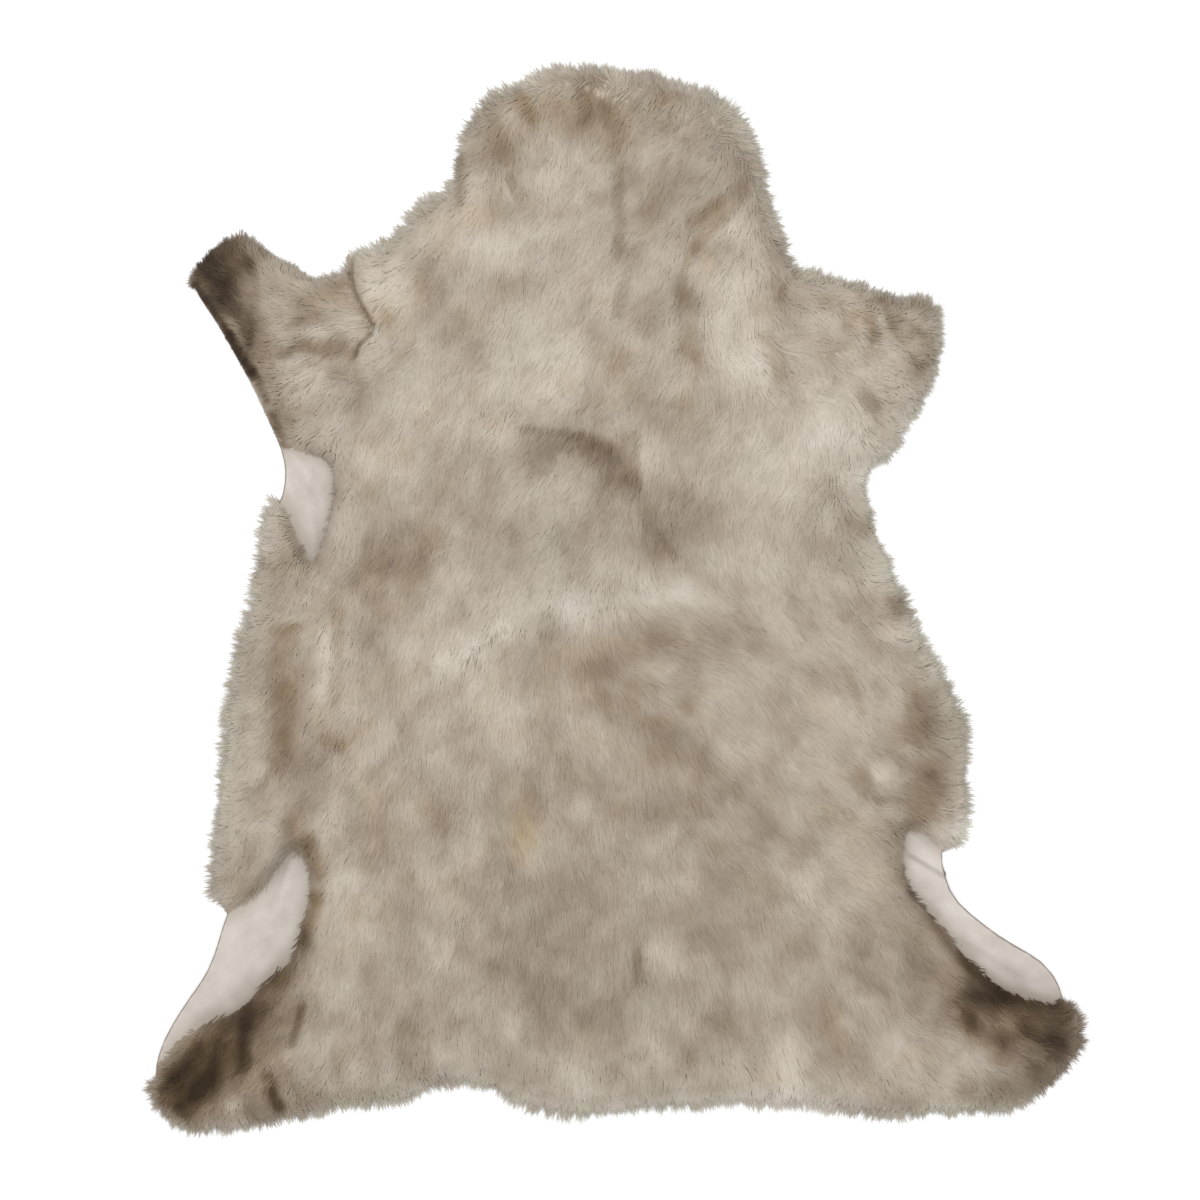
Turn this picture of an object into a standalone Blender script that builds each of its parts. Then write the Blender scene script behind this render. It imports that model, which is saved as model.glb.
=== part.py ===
"""A lambskin laid flat with its wool up, as one solid of the hide, its wool and the locks at its rim.

Units are metres. The origin is the middle of the flat face that lies on the floor, +Y runs along the
spine towards the head, +X is to the right when the skin is seen from above, and +Z is up.
Tables are in millimetres, read as: across, to the right of the origin, and along, towards the head.
"""

import math
import random
from collections import namedtuple

import bmesh
import bpy
from mathutils import Matrix, Vector, noise
from mathutils.kdtree import KDTree

MM = 0.001

# Driving sizes
SKIN_SCALE = 1.0 * MM
HIDE_THICKNESS = 2.0 * MM
PILE_HEIGHT = 21.0 * MM
RIM_HEIGHT = 8.5 * MM
ROLL_WIDTH = 38.0 * MM
BARE_BLEND = 20.0 * MM
CELL = 15.0 * MM
RIM_STEP = 13.0 * MM

# Soft lumps of the wool, as (size across, height)
LUMPS = ((75.0 * MM, 3.6 * MM), (34.0 * MM, 2.4 * MM))

# Locks at the rim, each three-sided with one side level over the floor. Sizes are shares of the root.
LOCK_SPACING = 13.2 * MM
LOCK_ROOT = 7.0 * MM
LOCK_WIDTH = 12.0 * MM
LOCK_HEIGHT = 8.6 * MM
LOCK_CLEARANCE = 0.7 * MM
LOCK_TIP_SIZE = 0.13
LOCK_BEND_AT = 0.6
LOCK_BEND_SIZE = 0.82
LOCK_LEAN = math.radians(24)
LEAST_LOCK = 4.0 * MM
SEED = 7

# Wool colour of the whole solid
WOOL_COLOUR = (0.49, 0.43, 0.35, 1.0)
WOOL_ROUGHNESS = 0.9

# The cut edge of the hide, clockwise from the head. reach is how far the wool stands past that edge,
# and is 0 where the edge is bare leather or the wool is combed off it.
Mark = namedtuple("Mark", "place across along reach")
RIM = (
    Mark("crown_left", -83, 436, 11),
    Mark("crown", -36, 450, 11),
    Mark("crown_right", 20, 445, 10),
    Mark("brow_right", 83, 424, 12),
    Mark("cheek_right_upper", 106, 393, 11),
    Mark("cheek_right", 120, 352, 11),
    Mark("neck_right", 133, 311, 11),
    Mark("neck_right_notch", 150, 278, 8),
    Mark("foreleg_right_front", 197, 266, 8),
    Mark("foreleg_right_top", 238, 253, 8),
    Mark("foreleg_right_corner", 269, 250, 10),
    Mark("foreleg_right_tip", 270, 215, 10),
    Mark("foreleg_right_sole", 262, 183, 10),
    Mark("foreleg_right_back", 243, 153, 11),
    Mark("foreleg_right_root", 230, 130, 10),
    Mark("armpit_right", 208, 115, 8),
    Mark("chest_right", 211, 77, 9),
    Mark("flank_right_upper", 227, 27, 10),
    Mark("flank_right", 250, -31, 12),
    Mark("flank_right_lower", 276, -76, 14),
    Mark("haunch_right_upper", 293, -117, 14),
    Mark("haunch_right", 290, -160, 14),
    Mark("haunch_right_end", 291, -194, 16),
    Mark("stifle_right", 279, -217, 0),
    Mark("thigh_right_upper", 283, -241, 0),
    Mark("thigh_right", 295, -263, 0),
    Mark("shank_right_upper", 330, -291, 0),
    Mark("shank_right", 366, -314, 0),
    Mark("hock_right", 382, -336, 5),
    Mark("hindleg_right_upper", 391, -357, 9),
    Mark("hindleg_right_tip", 393, -381, 11),
    Mark("hindleg_right_sole", 373, -407, 12),
    Mark("hindleg_right_root", 340, -430, 12),
    Mark("rump_right_outer", 295, -432, 13),
    Mark("rump_right", 244, -436, 13),
    Mark("rump_right_inner", 184, -428, 12),
    Mark("rump_middle", 106, -424, 12),
    Mark("tail_right", 37, -428, 12),
    Mark("tail", -23, -436, 12),
    Mark("tail_left", -66, -430, 12),
    Mark("rump_left_notch", -104, -413, 10),
    Mark("rump_left_inner", -143, -406, 12),
    Mark("rump_left", -186, -421, 14),
    Mark("rump_left_outer", -251, -430, 14),
    Mark("hindleg_left_root", -315, -444, 13),
    Mark("hindleg_left_sole", -362, -450, 12),
    Mark("hindleg_left_tip", -390, -431, 11),
    Mark("hock_left", -394, -403, 5),
    Mark("shank_left", -375, -357, 0),
    Mark("shank_left_upper", -352, -319, 0),
    Mark("thigh_left", -339, -284, 0),
    Mark("stifle_left", -333, -265, 6),
    Mark("haunch_left_end", -340, -246, 14),
    Mark("haunch_left", -337, -207, 14),
    Mark("haunch_left_upper", -332, -151, 14),
    Mark("flank_left_lower", -326, -99, 15),
    Mark("flank_left", -317, -48, 15),
    Mark("flank_left_upper", -305, 0, 14),
    Mark("chest_left_lower", -298, 38, 14),
    Mark("chest_left", -294, 70, 12),
    Mark("elbow_left_lower", -285, 90, 0),
    Mark("elbow_left", -282, 111, 0),
    Mark("armpit_left", -286, 131, 0),
    Mark("foreleg_left_root", -297, 156, 0),
    Mark("foreleg_left_back", -316, 197, 0),
    Mark("foreleg_left_sole", -339, 239, 0),
    Mark("foreleg_left_tip", -362, 274, 5),
    Mark("foreleg_left_corner", -353, 290, 8),
    Mark("foreleg_left_top", -326, 307, 8),
    Mark("foreleg_left_front", -303, 295, 7),
    Mark("foreleg_left_upper", -281, 282, 7),
    Mark("shoulder_left_notch", -262, 269, 6),
    Mark("shoulder_left_lower", -238, 274, 8),
    Mark("shoulder_left", -219, 290, 10),
    Mark("neck_left_lower", -188, 301, 11),
    Mark("neck_left", -166, 330, 12),
    Mark("neck_left_upper", -139, 347, 11),
    Mark("cheek_left", -128, 378, 11),
    Mark("cheek_left_upper", -115, 411, 11),
)

# Stretches of the skin where the leather shows, each a line of points with the bare width to each side.
Bare = namedtuple("Bare", "place across along half_width")
BARE_STRETCHES = (
    (
        Bare("elbow", -282, 136, 20),
        Bare("elbow_inner", -267, 86, 19),
        Bare("elbow_end", -253, 38, 5),
    ),
    (
        Bare("thigh_left_inner", -270, -240, 9),
        Bare("thigh_left_upper", -300, -280, 35),
        Bare("thigh_left_shank", -347, -328, 32),
        Bare("thigh_left_hock", -392, -398, 12),
    ),
    (
        Bare("thigh_right_inner", 256, -210, 10),
        Bare("thigh_right_upper", 280, -241, 20),
        Bare("thigh_right_shank", 316, -288, 21),
        Bare("thigh_right_hock", 374, -329, 20),
    ),
)

# Main folds of the hide and partings of the wool, each from one end to the other. A trough's rise is
# below 0.
Fold = namedtuple("Fold", "place across along to_across to_along width rise")
FOLDS = (
    Fold("shoulder_left_front", -233, 282, -227, 247, 12, -8),
    Fold("shoulder_left_back", -227, 247, -209, 221, 12, -8),
    Fold("neck_right_front", 111, 348, 76, 312, 15, -7),
    Fold("neck_right_middle", 76, 312, 61, 262, 16, -7),
    Fold("neck_right_back", 63, 249, 60, 184, 17, -5),
    Fold("nape", -4, 430, 4, 368, 13, -6),
    Fold("crown_left_pit", -79, 424, -61, 404, 14, -6),
    Fold("cheek_left_pit", -105, 380, -91, 347, 13, -6),
    Fold("chest_left", -111, 147, -47, 141, 12, -6),
    Fold("chest_right", -47, 141, 22, 117, 15, -9),
    Fold("parting_left", -152, -56, -100, -22, 16, 4),
    Fold("parting_middle", -100, -22, -47, 5, 20, 5),
    Fold("parting_right", -47, 5, 72, -7, 20, 4),
    Fold("flank_left_upper", -270, -18, -284, -78, 18, -9),
    Fold("flank_left_lower", -284, -78, -300, -151, 18, -9),
    Fold("flank_left_ridge", -245, 0, -250, -108, 18, 5),
    Fold("stifle_left_pit", -270, -197, -252, -226, 17, -8),
    Fold("flank_right_pit", 268, -151, 246, -190, 18, -8),
    Fold("foreleg_right_front", 211, 233, 220, 199, 10, -6),
    Fold("foreleg_right_root", 134, 232, 141, 172, 14, -5),
    Fold("hindleg_left", -313, -349, -317, -398, 12, -7),
    Fold("hindleg_right", 297, -360, 332, -398, 14, -6),
    Fold("loin_pit", 31, 51, 41, 37, 14, -6),
)

RimPoint = namedtuple("RimPoint", "at outward reach")


def clear_scene():
    for old in list(bpy.data.objects):
        bpy.data.objects.remove(old)


def new_collection(name):
    made = bpy.data.collections.new(name)
    bpy.context.scene.collection.children.link(made)
    return made


def placed(across, along):
    return Vector((across, along)) * SKIN_SCALE


def through_marks(before, start, end, after, share):
    """A value at this share of the way from start to end, on the smooth curve through all four."""
    return 0.5 * (
        2 * start
        + (end - before) * share
        + (2 * before - 5 * start + 4 * end - after) * share**2
        + (3 * start - before - 3 * end + after) * share**3
    )


def rim_points(step):
    """Points clockwise round the hide's edge, about a step apart, with the way out and the reach."""
    marks = [(placed(m.across, m.along), m.reach * SKIN_SCALE) for m in RIM]
    line = []
    for i, (start, reach) in enumerate(marks):
        before, end, after = (marks[(i + k) % len(marks)] for k in (-1, 1, 2))
        pieces = max(1, round((end[0] - start).length / step))
        for piece in range(pieces):
            share = piece / pieces
            at = through_marks(before[0], start, end[0], after[0], share)
            line.append((at, reach + (end[1] - reach) * share))
    found = []
    for i, (at, reach) in enumerate(line):
        run = line[(i + 1) % len(line)][0] - line[i - 1][0]
        found.append(RimPoint(at, Vector((-run.y, run.x)).normalized(), reach))
    return found


def smooth_share(value, width):
    share = min(max(value / width, 0.0), 1.0)
    return share * share * (3 - 2 * share)


def nearest_on(at, start, end):
    """How far a point is from the stretch between two others, and the share of the way along it."""
    run = end - start
    share = min(max((at - start).dot(run) / run.length_squared, 0.0), 1.0)
    return (at - start - run * share).length, share


def wool_cover(at):
    """1 where wool grows, falling to 0 where the leather is bare."""
    nearest = 1.0
    for stretch in BARE_STRETCHES:
        for first, last in zip(stretch, stretch[1:]):
            ends = placed(first.across, first.along), placed(last.across, last.along)
            away, share = nearest_on(at, *ends)
            half = first.half_width + (last.half_width - first.half_width) * share
            nearest = min(nearest, away - half * SKIN_SCALE)
    return smooth_share(nearest + BARE_BLEND / 2, BARE_BLEND)


def fold_rise(at):
    rise = 0.0
    for fold in FOLDS:
        ends = placed(fold.across, fold.along), placed(fold.to_across, fold.to_along)
        away, _ = nearest_on(at, *ends)
        rise += fold.rise * SKIN_SCALE * math.exp(-((away / (fold.width * SKIN_SCALE)) ** 2))
    return rise


def lumps(at):
    place = Vector((at.x, at.y, 0.0))
    return sum(height * noise.noise(place / size) for size, height in LUMPS)


class Rim:
    """The hide's edge, for finding how far inside it a point lies."""

    def __init__(self):
        self.points = rim_points(RIM_STEP / 4)
        self.tree = KDTree(len(self.points))
        for i, point in enumerate(self.points):
            self.tree.insert((*point.at, 0.0), i)
        self.tree.balance()

    def inside(self, at):
        """The distance in from the edge, and 0 outside it."""
        _, i, away = self.tree.find((*at, 0.0))
        point = self.points[i]
        return 0.0 if (at - point.at).dot(point.outward) > 0 else away


def top_height(at, rim):
    """How high the skin stands over the floor."""
    rolled = smooth_share(rim.inside(at), ROLL_WIDTH) ** 0.7
    full = PILE_HEIGHT + fold_rise(at) + lumps(at)
    pile = RIM_HEIGHT + (full - RIM_HEIGHT) * rolled
    return HIDE_THICKNESS + max(pile, 0.0) * wool_cover(at)


def principled(name, colour, roughness):
    made = bpy.data.materials.new(name)
    made.use_nodes = True
    shader = made.node_tree.nodes["Principled BSDF"]
    shader.inputs["Base Color"].default_value = colour
    shader.inputs["Roughness"].default_value = roughness
    shader.inputs["Metallic"].default_value = 0.0
    made.diffuse_color = colour
    return made


def linked(name, bm, collection):
    mesh = bpy.data.meshes.new(name)
    bm.to_mesh(mesh)
    bm.free()
    made = bpy.data.objects.new(name, mesh)
    collection.objects.link(made)
    return made


def as_helper(helper):
    helper.hide_render = True
    helper.display_type = "WIRE"
    return helper


def outline_prism(collection):
    """The hide's outline as a tall plate that stands on the floor, which trims the wool block."""
    height = 3 * PILE_HEIGHT
    curve = bpy.data.curves.new("outline", "CURVE")
    curve.dimensions = "2D"
    curve.fill_mode = "BOTH"
    curve.extrude = height / 2
    points = rim_points(RIM_STEP)
    spline = curve.splines.new("POLY")
    spline.points.add(len(points) - 1)
    for slot, point in zip(spline.points, points):
        slot.co = (*point.at, 0.0, 1.0)
    spline.use_cyclic_u = True
    plate = bpy.data.objects.new("outline_curve", curve)
    plate.location.z = height / 2
    collection.objects.link(plate)
    bpy.context.view_layer.update()
    evaluated = plate.evaluated_get(bpy.context.evaluated_depsgraph_get())
    bm = bmesh.new()
    bm.from_mesh(bpy.data.meshes.new_from_object(evaluated))
    bm.transform(plate.matrix_world)
    bmesh.ops.remove_doubles(bm, verts=bm.verts, dist=0.01 * MM)
    bmesh.ops.recalc_face_normals(bm, faces=bm.faces)
    bpy.data.objects.remove(plate)
    return as_helper(linked("outline_prism", bm, collection))


def wool_block(collection):
    """A block with the wool's surface on top, which reaches past the outline and below the floor."""
    rim = Rim()
    half_across, half_along = (
        max(abs(point.at[k]) for point in rim.points) + 2 * CELL for k in (0, 1)
    )
    bm = bmesh.new()
    bmesh.ops.create_grid(
        bm,
        x_segments=round(2 * half_across / CELL),
        y_segments=round(2 * half_along / CELL),
        size=1.0,
        matrix=Matrix.Diagonal((half_across, half_along, 1.0, 1.0)),
    )
    for vert in bm.verts:
        vert.co.z = top_height(vert.co.xy, rim)
    edge = [e for e in bm.edges if e.is_boundary]
    skirt = bmesh.ops.extrude_edge_only(bm, edges=edge)["geom"]
    for vert in skirt:
        if isinstance(vert, bmesh.types.BMVert):
            vert.co.z = -PILE_HEIGHT
    bmesh.ops.holes_fill(bm, edges=[e for e in bm.edges if e.is_boundary])
    bmesh.ops.recalc_face_normals(bm, faces=bm.faces)
    return linked("lambskin", bm, collection)


def add_lock(bm, root, outward, length, lean):
    """One three-sided lock that tapers from inside the wool's edge to a tip just over the floor."""
    made = bmesh.ops.create_cone(
        bm, cap_ends=True, segments=3, radius1=1.0, radius2=LOCK_TIP_SIZE, depth=1.0
    )["verts"]
    shape = {face for vert in made for face in vert.link_faces}
    shape |= {edge for vert in made for edge in vert.link_edges}
    bend = Vector((0.0, 0.0, LOCK_BEND_AT - 0.5))
    cut = bmesh.ops.bisect_plane(bm, geom=made + list(shape), plane_co=bend, plane_no=(0, 0, 1))
    middle = {v for v in cut["geom_cut"] if isinstance(v, bmesh.types.BMVert)}
    for vert in middle:
        vert.co.xy = vert.co.xy.normalized() * LOCK_BEND_SIZE
    heading = Matrix.Rotation(lean, 2) @ outward
    sideways = Vector((-outward.y, outward.x))
    for vert in middle.union(made):
        share = vert.co.z + 0.5
        run = outward * (length * share - LOCK_ROOT * (1 - share))
        run += (heading - outward) * length * share**2
        across = sideways * vert.co.x / math.sqrt(3) * LOCK_WIDTH
        above = (vert.co.y + vert.co.xy.length / 2) / 1.5 * LOCK_HEIGHT
        vert.co = (*(root + run + across), LOCK_CLEARANCE + above)


def rim_locks(collection):
    """All the locks round the rim in one mesh, apart from one another and each rooted in the wool."""
    chance = random.Random(SEED)
    bm = bmesh.new()
    travelled = 0.0
    points = rim_points(RIM_STEP / 4)
    for before, point in zip(points, points[1:]):
        travelled += (point.at - before.at).length
        if travelled < LOCK_SPACING:
            continue
        travelled -= LOCK_SPACING
        length = point.reach * chance.uniform(0.75, 1.2)
        lean = LOCK_LEAN * chance.uniform(-1.0, 1.0)
        if point.reach > LEAST_LOCK and wool_cover(point.at) > 0.9:
            add_lock(bm, point.at, point.outward, length, lean)
    bmesh.ops.recalc_face_normals(bm, faces=bm.faces)
    return as_helper(linked("rim_locks", bm, collection))


def combine(target, other, operation):
    step = target.modifiers.new(other.name, "BOOLEAN")
    step.operation = operation
    step.solver = "EXACT"
    step.object = other
    return step


def main():
    clear_scene()
    skin = new_collection("lambskin")
    helpers = new_collection("helpers")
    lambskin = wool_block(skin)
    combine(lambskin, outline_prism(helpers), "INTERSECT")
    combine(lambskin, rim_locks(helpers), "UNION").use_self = True
    lambskin.data.materials.append(principled("wool", WOOL_COLOUR, WOOL_ROUGHNESS))


main()
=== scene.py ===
# %% [markdown]
# # A lambskin, wool side up
# A tanned lambskin is one thing: a sheet of leather about 2 mm thick with the wool still growing on it.
# This lesson dresses the CAD solid of one. The leather is a thin sheet cut to the solid's outline, and the
# wool is built in layers over it: a soft undercoat that fills the depth, then many thousands of hairs that
# lie the way the real wool does. The solid stays in the scene and isn't shown. Lengths are in metres,
# and MM turns the millimetres of the tables into them.

# %% Load the frame and keep its box
import math
from collections import namedtuple

import bmesh
import bpy
import numpy as np
from mathutils.bvhtree import BVHTree
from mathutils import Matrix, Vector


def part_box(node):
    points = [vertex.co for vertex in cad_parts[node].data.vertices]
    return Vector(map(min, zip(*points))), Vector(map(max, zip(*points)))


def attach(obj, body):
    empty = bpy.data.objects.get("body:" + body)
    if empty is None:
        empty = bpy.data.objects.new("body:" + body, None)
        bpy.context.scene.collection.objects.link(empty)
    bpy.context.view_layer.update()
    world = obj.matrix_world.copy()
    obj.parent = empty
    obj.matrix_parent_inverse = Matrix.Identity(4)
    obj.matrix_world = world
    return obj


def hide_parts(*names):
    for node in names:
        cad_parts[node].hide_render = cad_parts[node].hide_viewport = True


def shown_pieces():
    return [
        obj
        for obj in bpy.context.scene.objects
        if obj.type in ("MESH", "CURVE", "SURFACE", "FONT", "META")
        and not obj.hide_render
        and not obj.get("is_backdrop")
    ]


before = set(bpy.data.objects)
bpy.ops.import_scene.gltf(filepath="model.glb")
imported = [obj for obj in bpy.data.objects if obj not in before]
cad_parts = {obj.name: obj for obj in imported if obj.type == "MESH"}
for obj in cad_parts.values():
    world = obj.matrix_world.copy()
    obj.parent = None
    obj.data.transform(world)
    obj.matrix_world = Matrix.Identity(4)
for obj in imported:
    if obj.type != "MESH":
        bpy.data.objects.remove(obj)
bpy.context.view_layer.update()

MM = 0.001
skin_low, skin_high = (np.array(corner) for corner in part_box("lambskin"))
print("solid, mm:", np.round((skin_high - skin_low) / MM, 1))

# %% [markdown]
# ## Camera, light and floor
# The skin is seen from straight above, so the camera looks straight down, with the head end at the top.
# A high softbox and a pale sky give light without hard shadows, as on a studio's white table. A little
# of the light comes from one side, so that tufts still show their form.

# %% Look straight down
CAMERA_HEIGHT = 1.7
FRAME_WIDTH = 1.032
FRAME_CENTRE = (-0.0142, -0.0004)
WOOL_LEVEL = 10 * MM
SENSOR = 36.0

camera_data = bpy.data.cameras.new("camera")
camera_data.sensor_width = SENSOR
camera_data.lens = SENSOR * (CAMERA_HEIGHT - WOOL_LEVEL) / FRAME_WIDTH
camera = bpy.data.objects.new("camera", camera_data)
camera.location = (*FRAME_CENTRE, CAMERA_HEIGHT)
bpy.context.scene.collection.objects.link(camera)
bpy.context.scene.camera = camera
print("lens, mm:", round(camera_data.lens, 1))

# %% Light it softly
SKY_COLOUR = (0.97, 0.985, 1.0, 1)
SKY_STRENGTH = 0.92
Lamp = namedtuple("Lamp", "name place size power")
LAMPS = (
    Lamp("softbox", (-0.7, 0.9, 2.3), 2.4, 34),
    Lamp("fill", (1.5, -1.2, 1.8), 2.0, 9),
)

bpy.context.scene.view_settings.view_transform = "Standard"
world = bpy.data.worlds.new("studio")
world.use_nodes = True
sky = world.node_tree.nodes["Background"]
sky.inputs["Color"].default_value = SKY_COLOUR
sky.inputs["Strength"].default_value = SKY_STRENGTH
bpy.context.scene.world = world
for lamp in LAMPS:
    light_data = bpy.data.lights.new(lamp.name, "AREA")
    light_data.size = lamp.size
    light_data.energy = lamp.power
    light = bpy.data.objects.new(lamp.name, light_data)
    light.location = lamp.place
    light.rotation_euler = (-light.location).to_track_quat("-Z", "Y").to_euler()
    bpy.context.scene.collection.objects.link(light)
print("lights:", len(LAMPS))

# %% Lay a pale floor
FLOOR_SIZE = 6.0
FLOOR_COLOUR = (0.93, 0.93, 0.925, 1)
FLOOR_DROP = 0.2 * MM


def deselect_all():
    """Leaves nothing selected, because an operator acts on all that is."""
    if bpy.context.object and bpy.context.object.mode != "OBJECT":
        bpy.ops.object.mode_set(mode="OBJECT")
    bpy.ops.object.select_all(action="DESELECT")


def new_material(name, roughness):
    """A new material with a Principled shader, and that shader."""
    material = bpy.data.materials.new(name)
    material.use_nodes = True
    shader = material.node_tree.nodes["Principled BSDF"]
    shader.inputs["Roughness"].default_value = roughness
    return material, shader


deselect_all()
bpy.ops.mesh.primitive_plane_add(size=FLOOR_SIZE, location=(0, 0, -FLOOR_DROP))
floor = bpy.context.object
floor.name = "floor"
floor_material, shader = new_material("floor_white", roughness=0.9)
shader.inputs["Base Color"].default_value = FLOOR_COLOUR
floor.data.materials.append(floor_material)
floor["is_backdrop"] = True
print("floor, metres wide:", FLOOR_SIZE)

# %% [markdown]
# ## A chart of the skin
# Everything that follows asks the same questions of a place on the skin: how far is it from the edge, how
# high does the wool stand, which way does it lie and what colour is it? The answers are kept in charts,
# grids of values 2.5 mm apart that are read smoothly between their points. Those for shape come from the
# solid itself.

# %% Read a grid of values anywhere
CHART_STEP = 2.5 * MM
CHART_MARGIN = 36 * MM
TINY = 1e-9
FAR = 1.0

chart_low = skin_low[:2] - CHART_MARGIN
chart_count = np.ceil((skin_high[:2] + CHART_MARGIN - chart_low) / CHART_STEP).astype(int) + 1
chart_places = np.stack(
    np.meshgrid(*(chart_low[k] + CHART_STEP * np.arange(chart_count[k]) for k in (0, 1)), indexing="ij"),
    axis=-1,
)
flat_places = chart_places.reshape(-1, 2)


def unit(way):
    """The directions again, each of length 1."""
    return way / np.maximum(np.linalg.norm(way, axis=-1, keepdims=True), TINY)


def read(chart, places):
    """The chart's value at each place, blended between its four nearest points."""
    spot = np.clip((places - chart_low) / CHART_STEP, 0, chart_count - 1 - TINY)
    cell = spot.astype(int)
    part = spot - cell
    i, j = cell[..., 0], cell[..., 1]
    if chart.ndim == 3:
        part = part[..., None, :]
    u, v = part[..., 0], part[..., 1]
    near = chart[i, j] * (1 - u) + chart[i + 1, j] * u
    far = chart[i, j + 1] * (1 - u) + chart[i + 1, j + 1] * u
    return near * (1 - v) + far * v


def charted(values):
    """Values worked out for flat_places, as a chart."""
    return values.reshape(*chart_count, *values.shape[1:])


def blurred(chart, radius):
    """The chart with each value blended over about that radius."""
    reach = int(np.ceil(2 * radius / CHART_STEP))
    bell = np.exp(-0.5 * (np.arange(-reach, reach + 1) * CHART_STEP / radius) ** 2)
    bell /= bell.sum()
    for axis in (0, 1):
        chart = np.apply_along_axis(np.convolve, axis, chart, bell, mode="same")
    return chart


def smooth_share(value, start, end):
    """0 before start, 1 after end, and a smooth rise between them."""
    t = np.clip((value - start) / (end - start), 0, 1)
    return t * t * (3 - 2 * t)


print("chart points:", chart_count)

# %% [markdown]
# ## The skin's rim
# The leather ends a little outside the solid's underside, and the wool hangs over it. The table says where
# on the rim the wool hangs further out than elsewhere, as locks do at a corner, and where the leather does.
# Across and along are millimetres from the skin's middle, to the right and towards the head. Spread is how
# far a row works, and fringe and edge are what it adds to the wool's reach and to the leather.

# %% Find the leather's outline in the solid
MERGE_GAP = 0.001 * MM
FLOOR_LEVEL = 0.1 * MM
OUTLINE_STEP = 2 * MM
EDGE_MARGIN = 2.2 * MM

RimRow = namedtuple("RimRow", "place across along spread fringe edge")
RIM_ROWS = (
    RimRow("crown", -49, 461, 34, 4, 0),
    RimRow("crown_left", -96, 443, 16, 4, 0),
    RimRow("temple_left", -128, 414, 20, 4, 0),
    RimRow("neck_left", -165, 339, 26, 5, 0),
    RimRow("shoulder_left", -214, 304, 20, 5, 0),
    RimRow("foreleg_left_back", -331, 232, 46, 0, 3.2),
    RimRow("elbow", -286, 120, 34, 0, 1.6),
    RimRow("crown_right", 111, 414, 30, 4, 0),
    RimRow("neck_right", 142, 322, 24, 3, 0),
    RimRow("foreleg_right_corner", 276, 260, 12, 9, 0),
    RimRow("foreleg_right_low", 248, 141, 14, 4, 0),
    RimRow("side_right", 257, -9, 20, 2, 0),
    RimRow("flank_right", 287, -69, 26, 3, 0),
    RimRow("haunch_right", 297, -172, 9, 9, 2),
    RimRow("haunch_right_low", 287, -202, 9, 9, 2),
    RimRow("haunch_notch", 288, -154, 6, -7, 0),
    RimRow("foreleg_right_top", 173, 275, 20, 6, 2),
    RimRow("corner_right", 102, 414, 12, 6, 2),
    RimRow("leg_left_low_lock", -264, -439, 10, 9, 2),
    RimRow("rump_right_gap", 270, -424, 9, -7, 0),
    RimRow("head_right_notch", 117, 341, 7, -8, 0),
    RimRow("flank_left_gap", -326, -132, 7, -6, 0),
    RimRow("flank_left_lock", -334, -97, 8, 7, 0),
    RimRow("rump_right_inner", 201, -437, 26, 5, 0),
    RimRow("crown_notch_right", 68, 430, 8, -3, 0),
    RimRow("shoulder_left_notch", -128, 373, 7, -6, 0),
    RimRow("foreleg_right_top_far", 213, 275, 14, 5, 0),
    RimRow("flank_left_end", -351, -257, 14, 8, 2),
    RimRow("leg_right_top", 391, -346, 9, -3, -3),
    RimRow("rump_left_gap", -138, -422, 22, 3, -3),
    RimRow("rump_left_inner", -100, -431, 14, 6, 0),
    RimRow("rump_middle_left", -40, -441, 44, 3, -3),
    RimRow("rump_middle", 76, -440, 26, 4, 0),
    RimRow("rump_middle_right", 149, -441, 60, 3, -3),
    RimRow("flank_right_long", 278, -61, 50, 2, -2),
    RimRow("flank_left_long", -331, -69, 60, 2, -2),
    RimRow("crown_left_top", -64, 462, 14, 3, 3),
    RimRow("shoulder_left_top", -267, 285, 9, 2, 3),
    RimRow("shoulder_left_inner", -227, 304, 10, 3, 3),
    RimRow("head_left_low", -160, 356, 6, 3, 4),
    RimRow("head_right_high", 129, 378, 9, 3, 3),
    RimRow("leg_right_sole", 319, -446, 11, 4, 2.5),
    RimRow("leg_left_tip", -399, -437, 14, 4, 2),
    RimRow("leg_left_tip_high", -401, -416, 8, -4, 0),
    RimRow("toe_left", -362, 283, 12, -3, 0),
    RimRow("armpit_right", 221, 65, 16, -3, 0),
    RimRow("flank_left_high", -319, -4, 16, -3, 0),
    RimRow("flank_left_low", -343, -154, 9, -2, 0),
    RimRow("leg_left_sole", -379, -457, 14, 3, 0),
    RimRow("rump_middle_gap", 0, -440, 12, -2, 0),
    RimRow("thigh_right", 330, -284, 46, 0, -1.6),
    RimRow("leg_right_tip", 405, -379, 16, 3, 0),
    RimRow("leg_right_low", 343, -441, 24, 3, 0),
    RimRow("rump_right", 227, -448, 16, 3, 0),
    RimRow("rump_notch_left", -83, -436, 20, 3, 0),
    RimRow("rump_left", -255, -446, 30, 3, 0),
    RimRow("leg_left_low", -324, -458, 30, 2, 0),
    RimRow("leg_left_edge", -387, -383, 24, 0, 2.2),
    RimRow("thigh_left", -362, -323, 40, 0, -2),
    RimRow("flank_left", -336, -69, 34, 2, 0),
    RimRow("armpit_left", -308, 77, 18, 6, 0),
)

solid = bmesh.new()
solid.from_mesh(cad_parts["lambskin"].data)
bmesh.ops.remove_doubles(solid, verts=solid.verts, dist=MERGE_GAP)
underside = [face for face in solid.faces if all(v.co.z < FLOOR_LEVEL for v in face.verts)]
in_underside = set(underside)
border = [e for f in underside for e in f.edges if sum(g in in_underside for g in e.link_faces) == 1]


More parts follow.
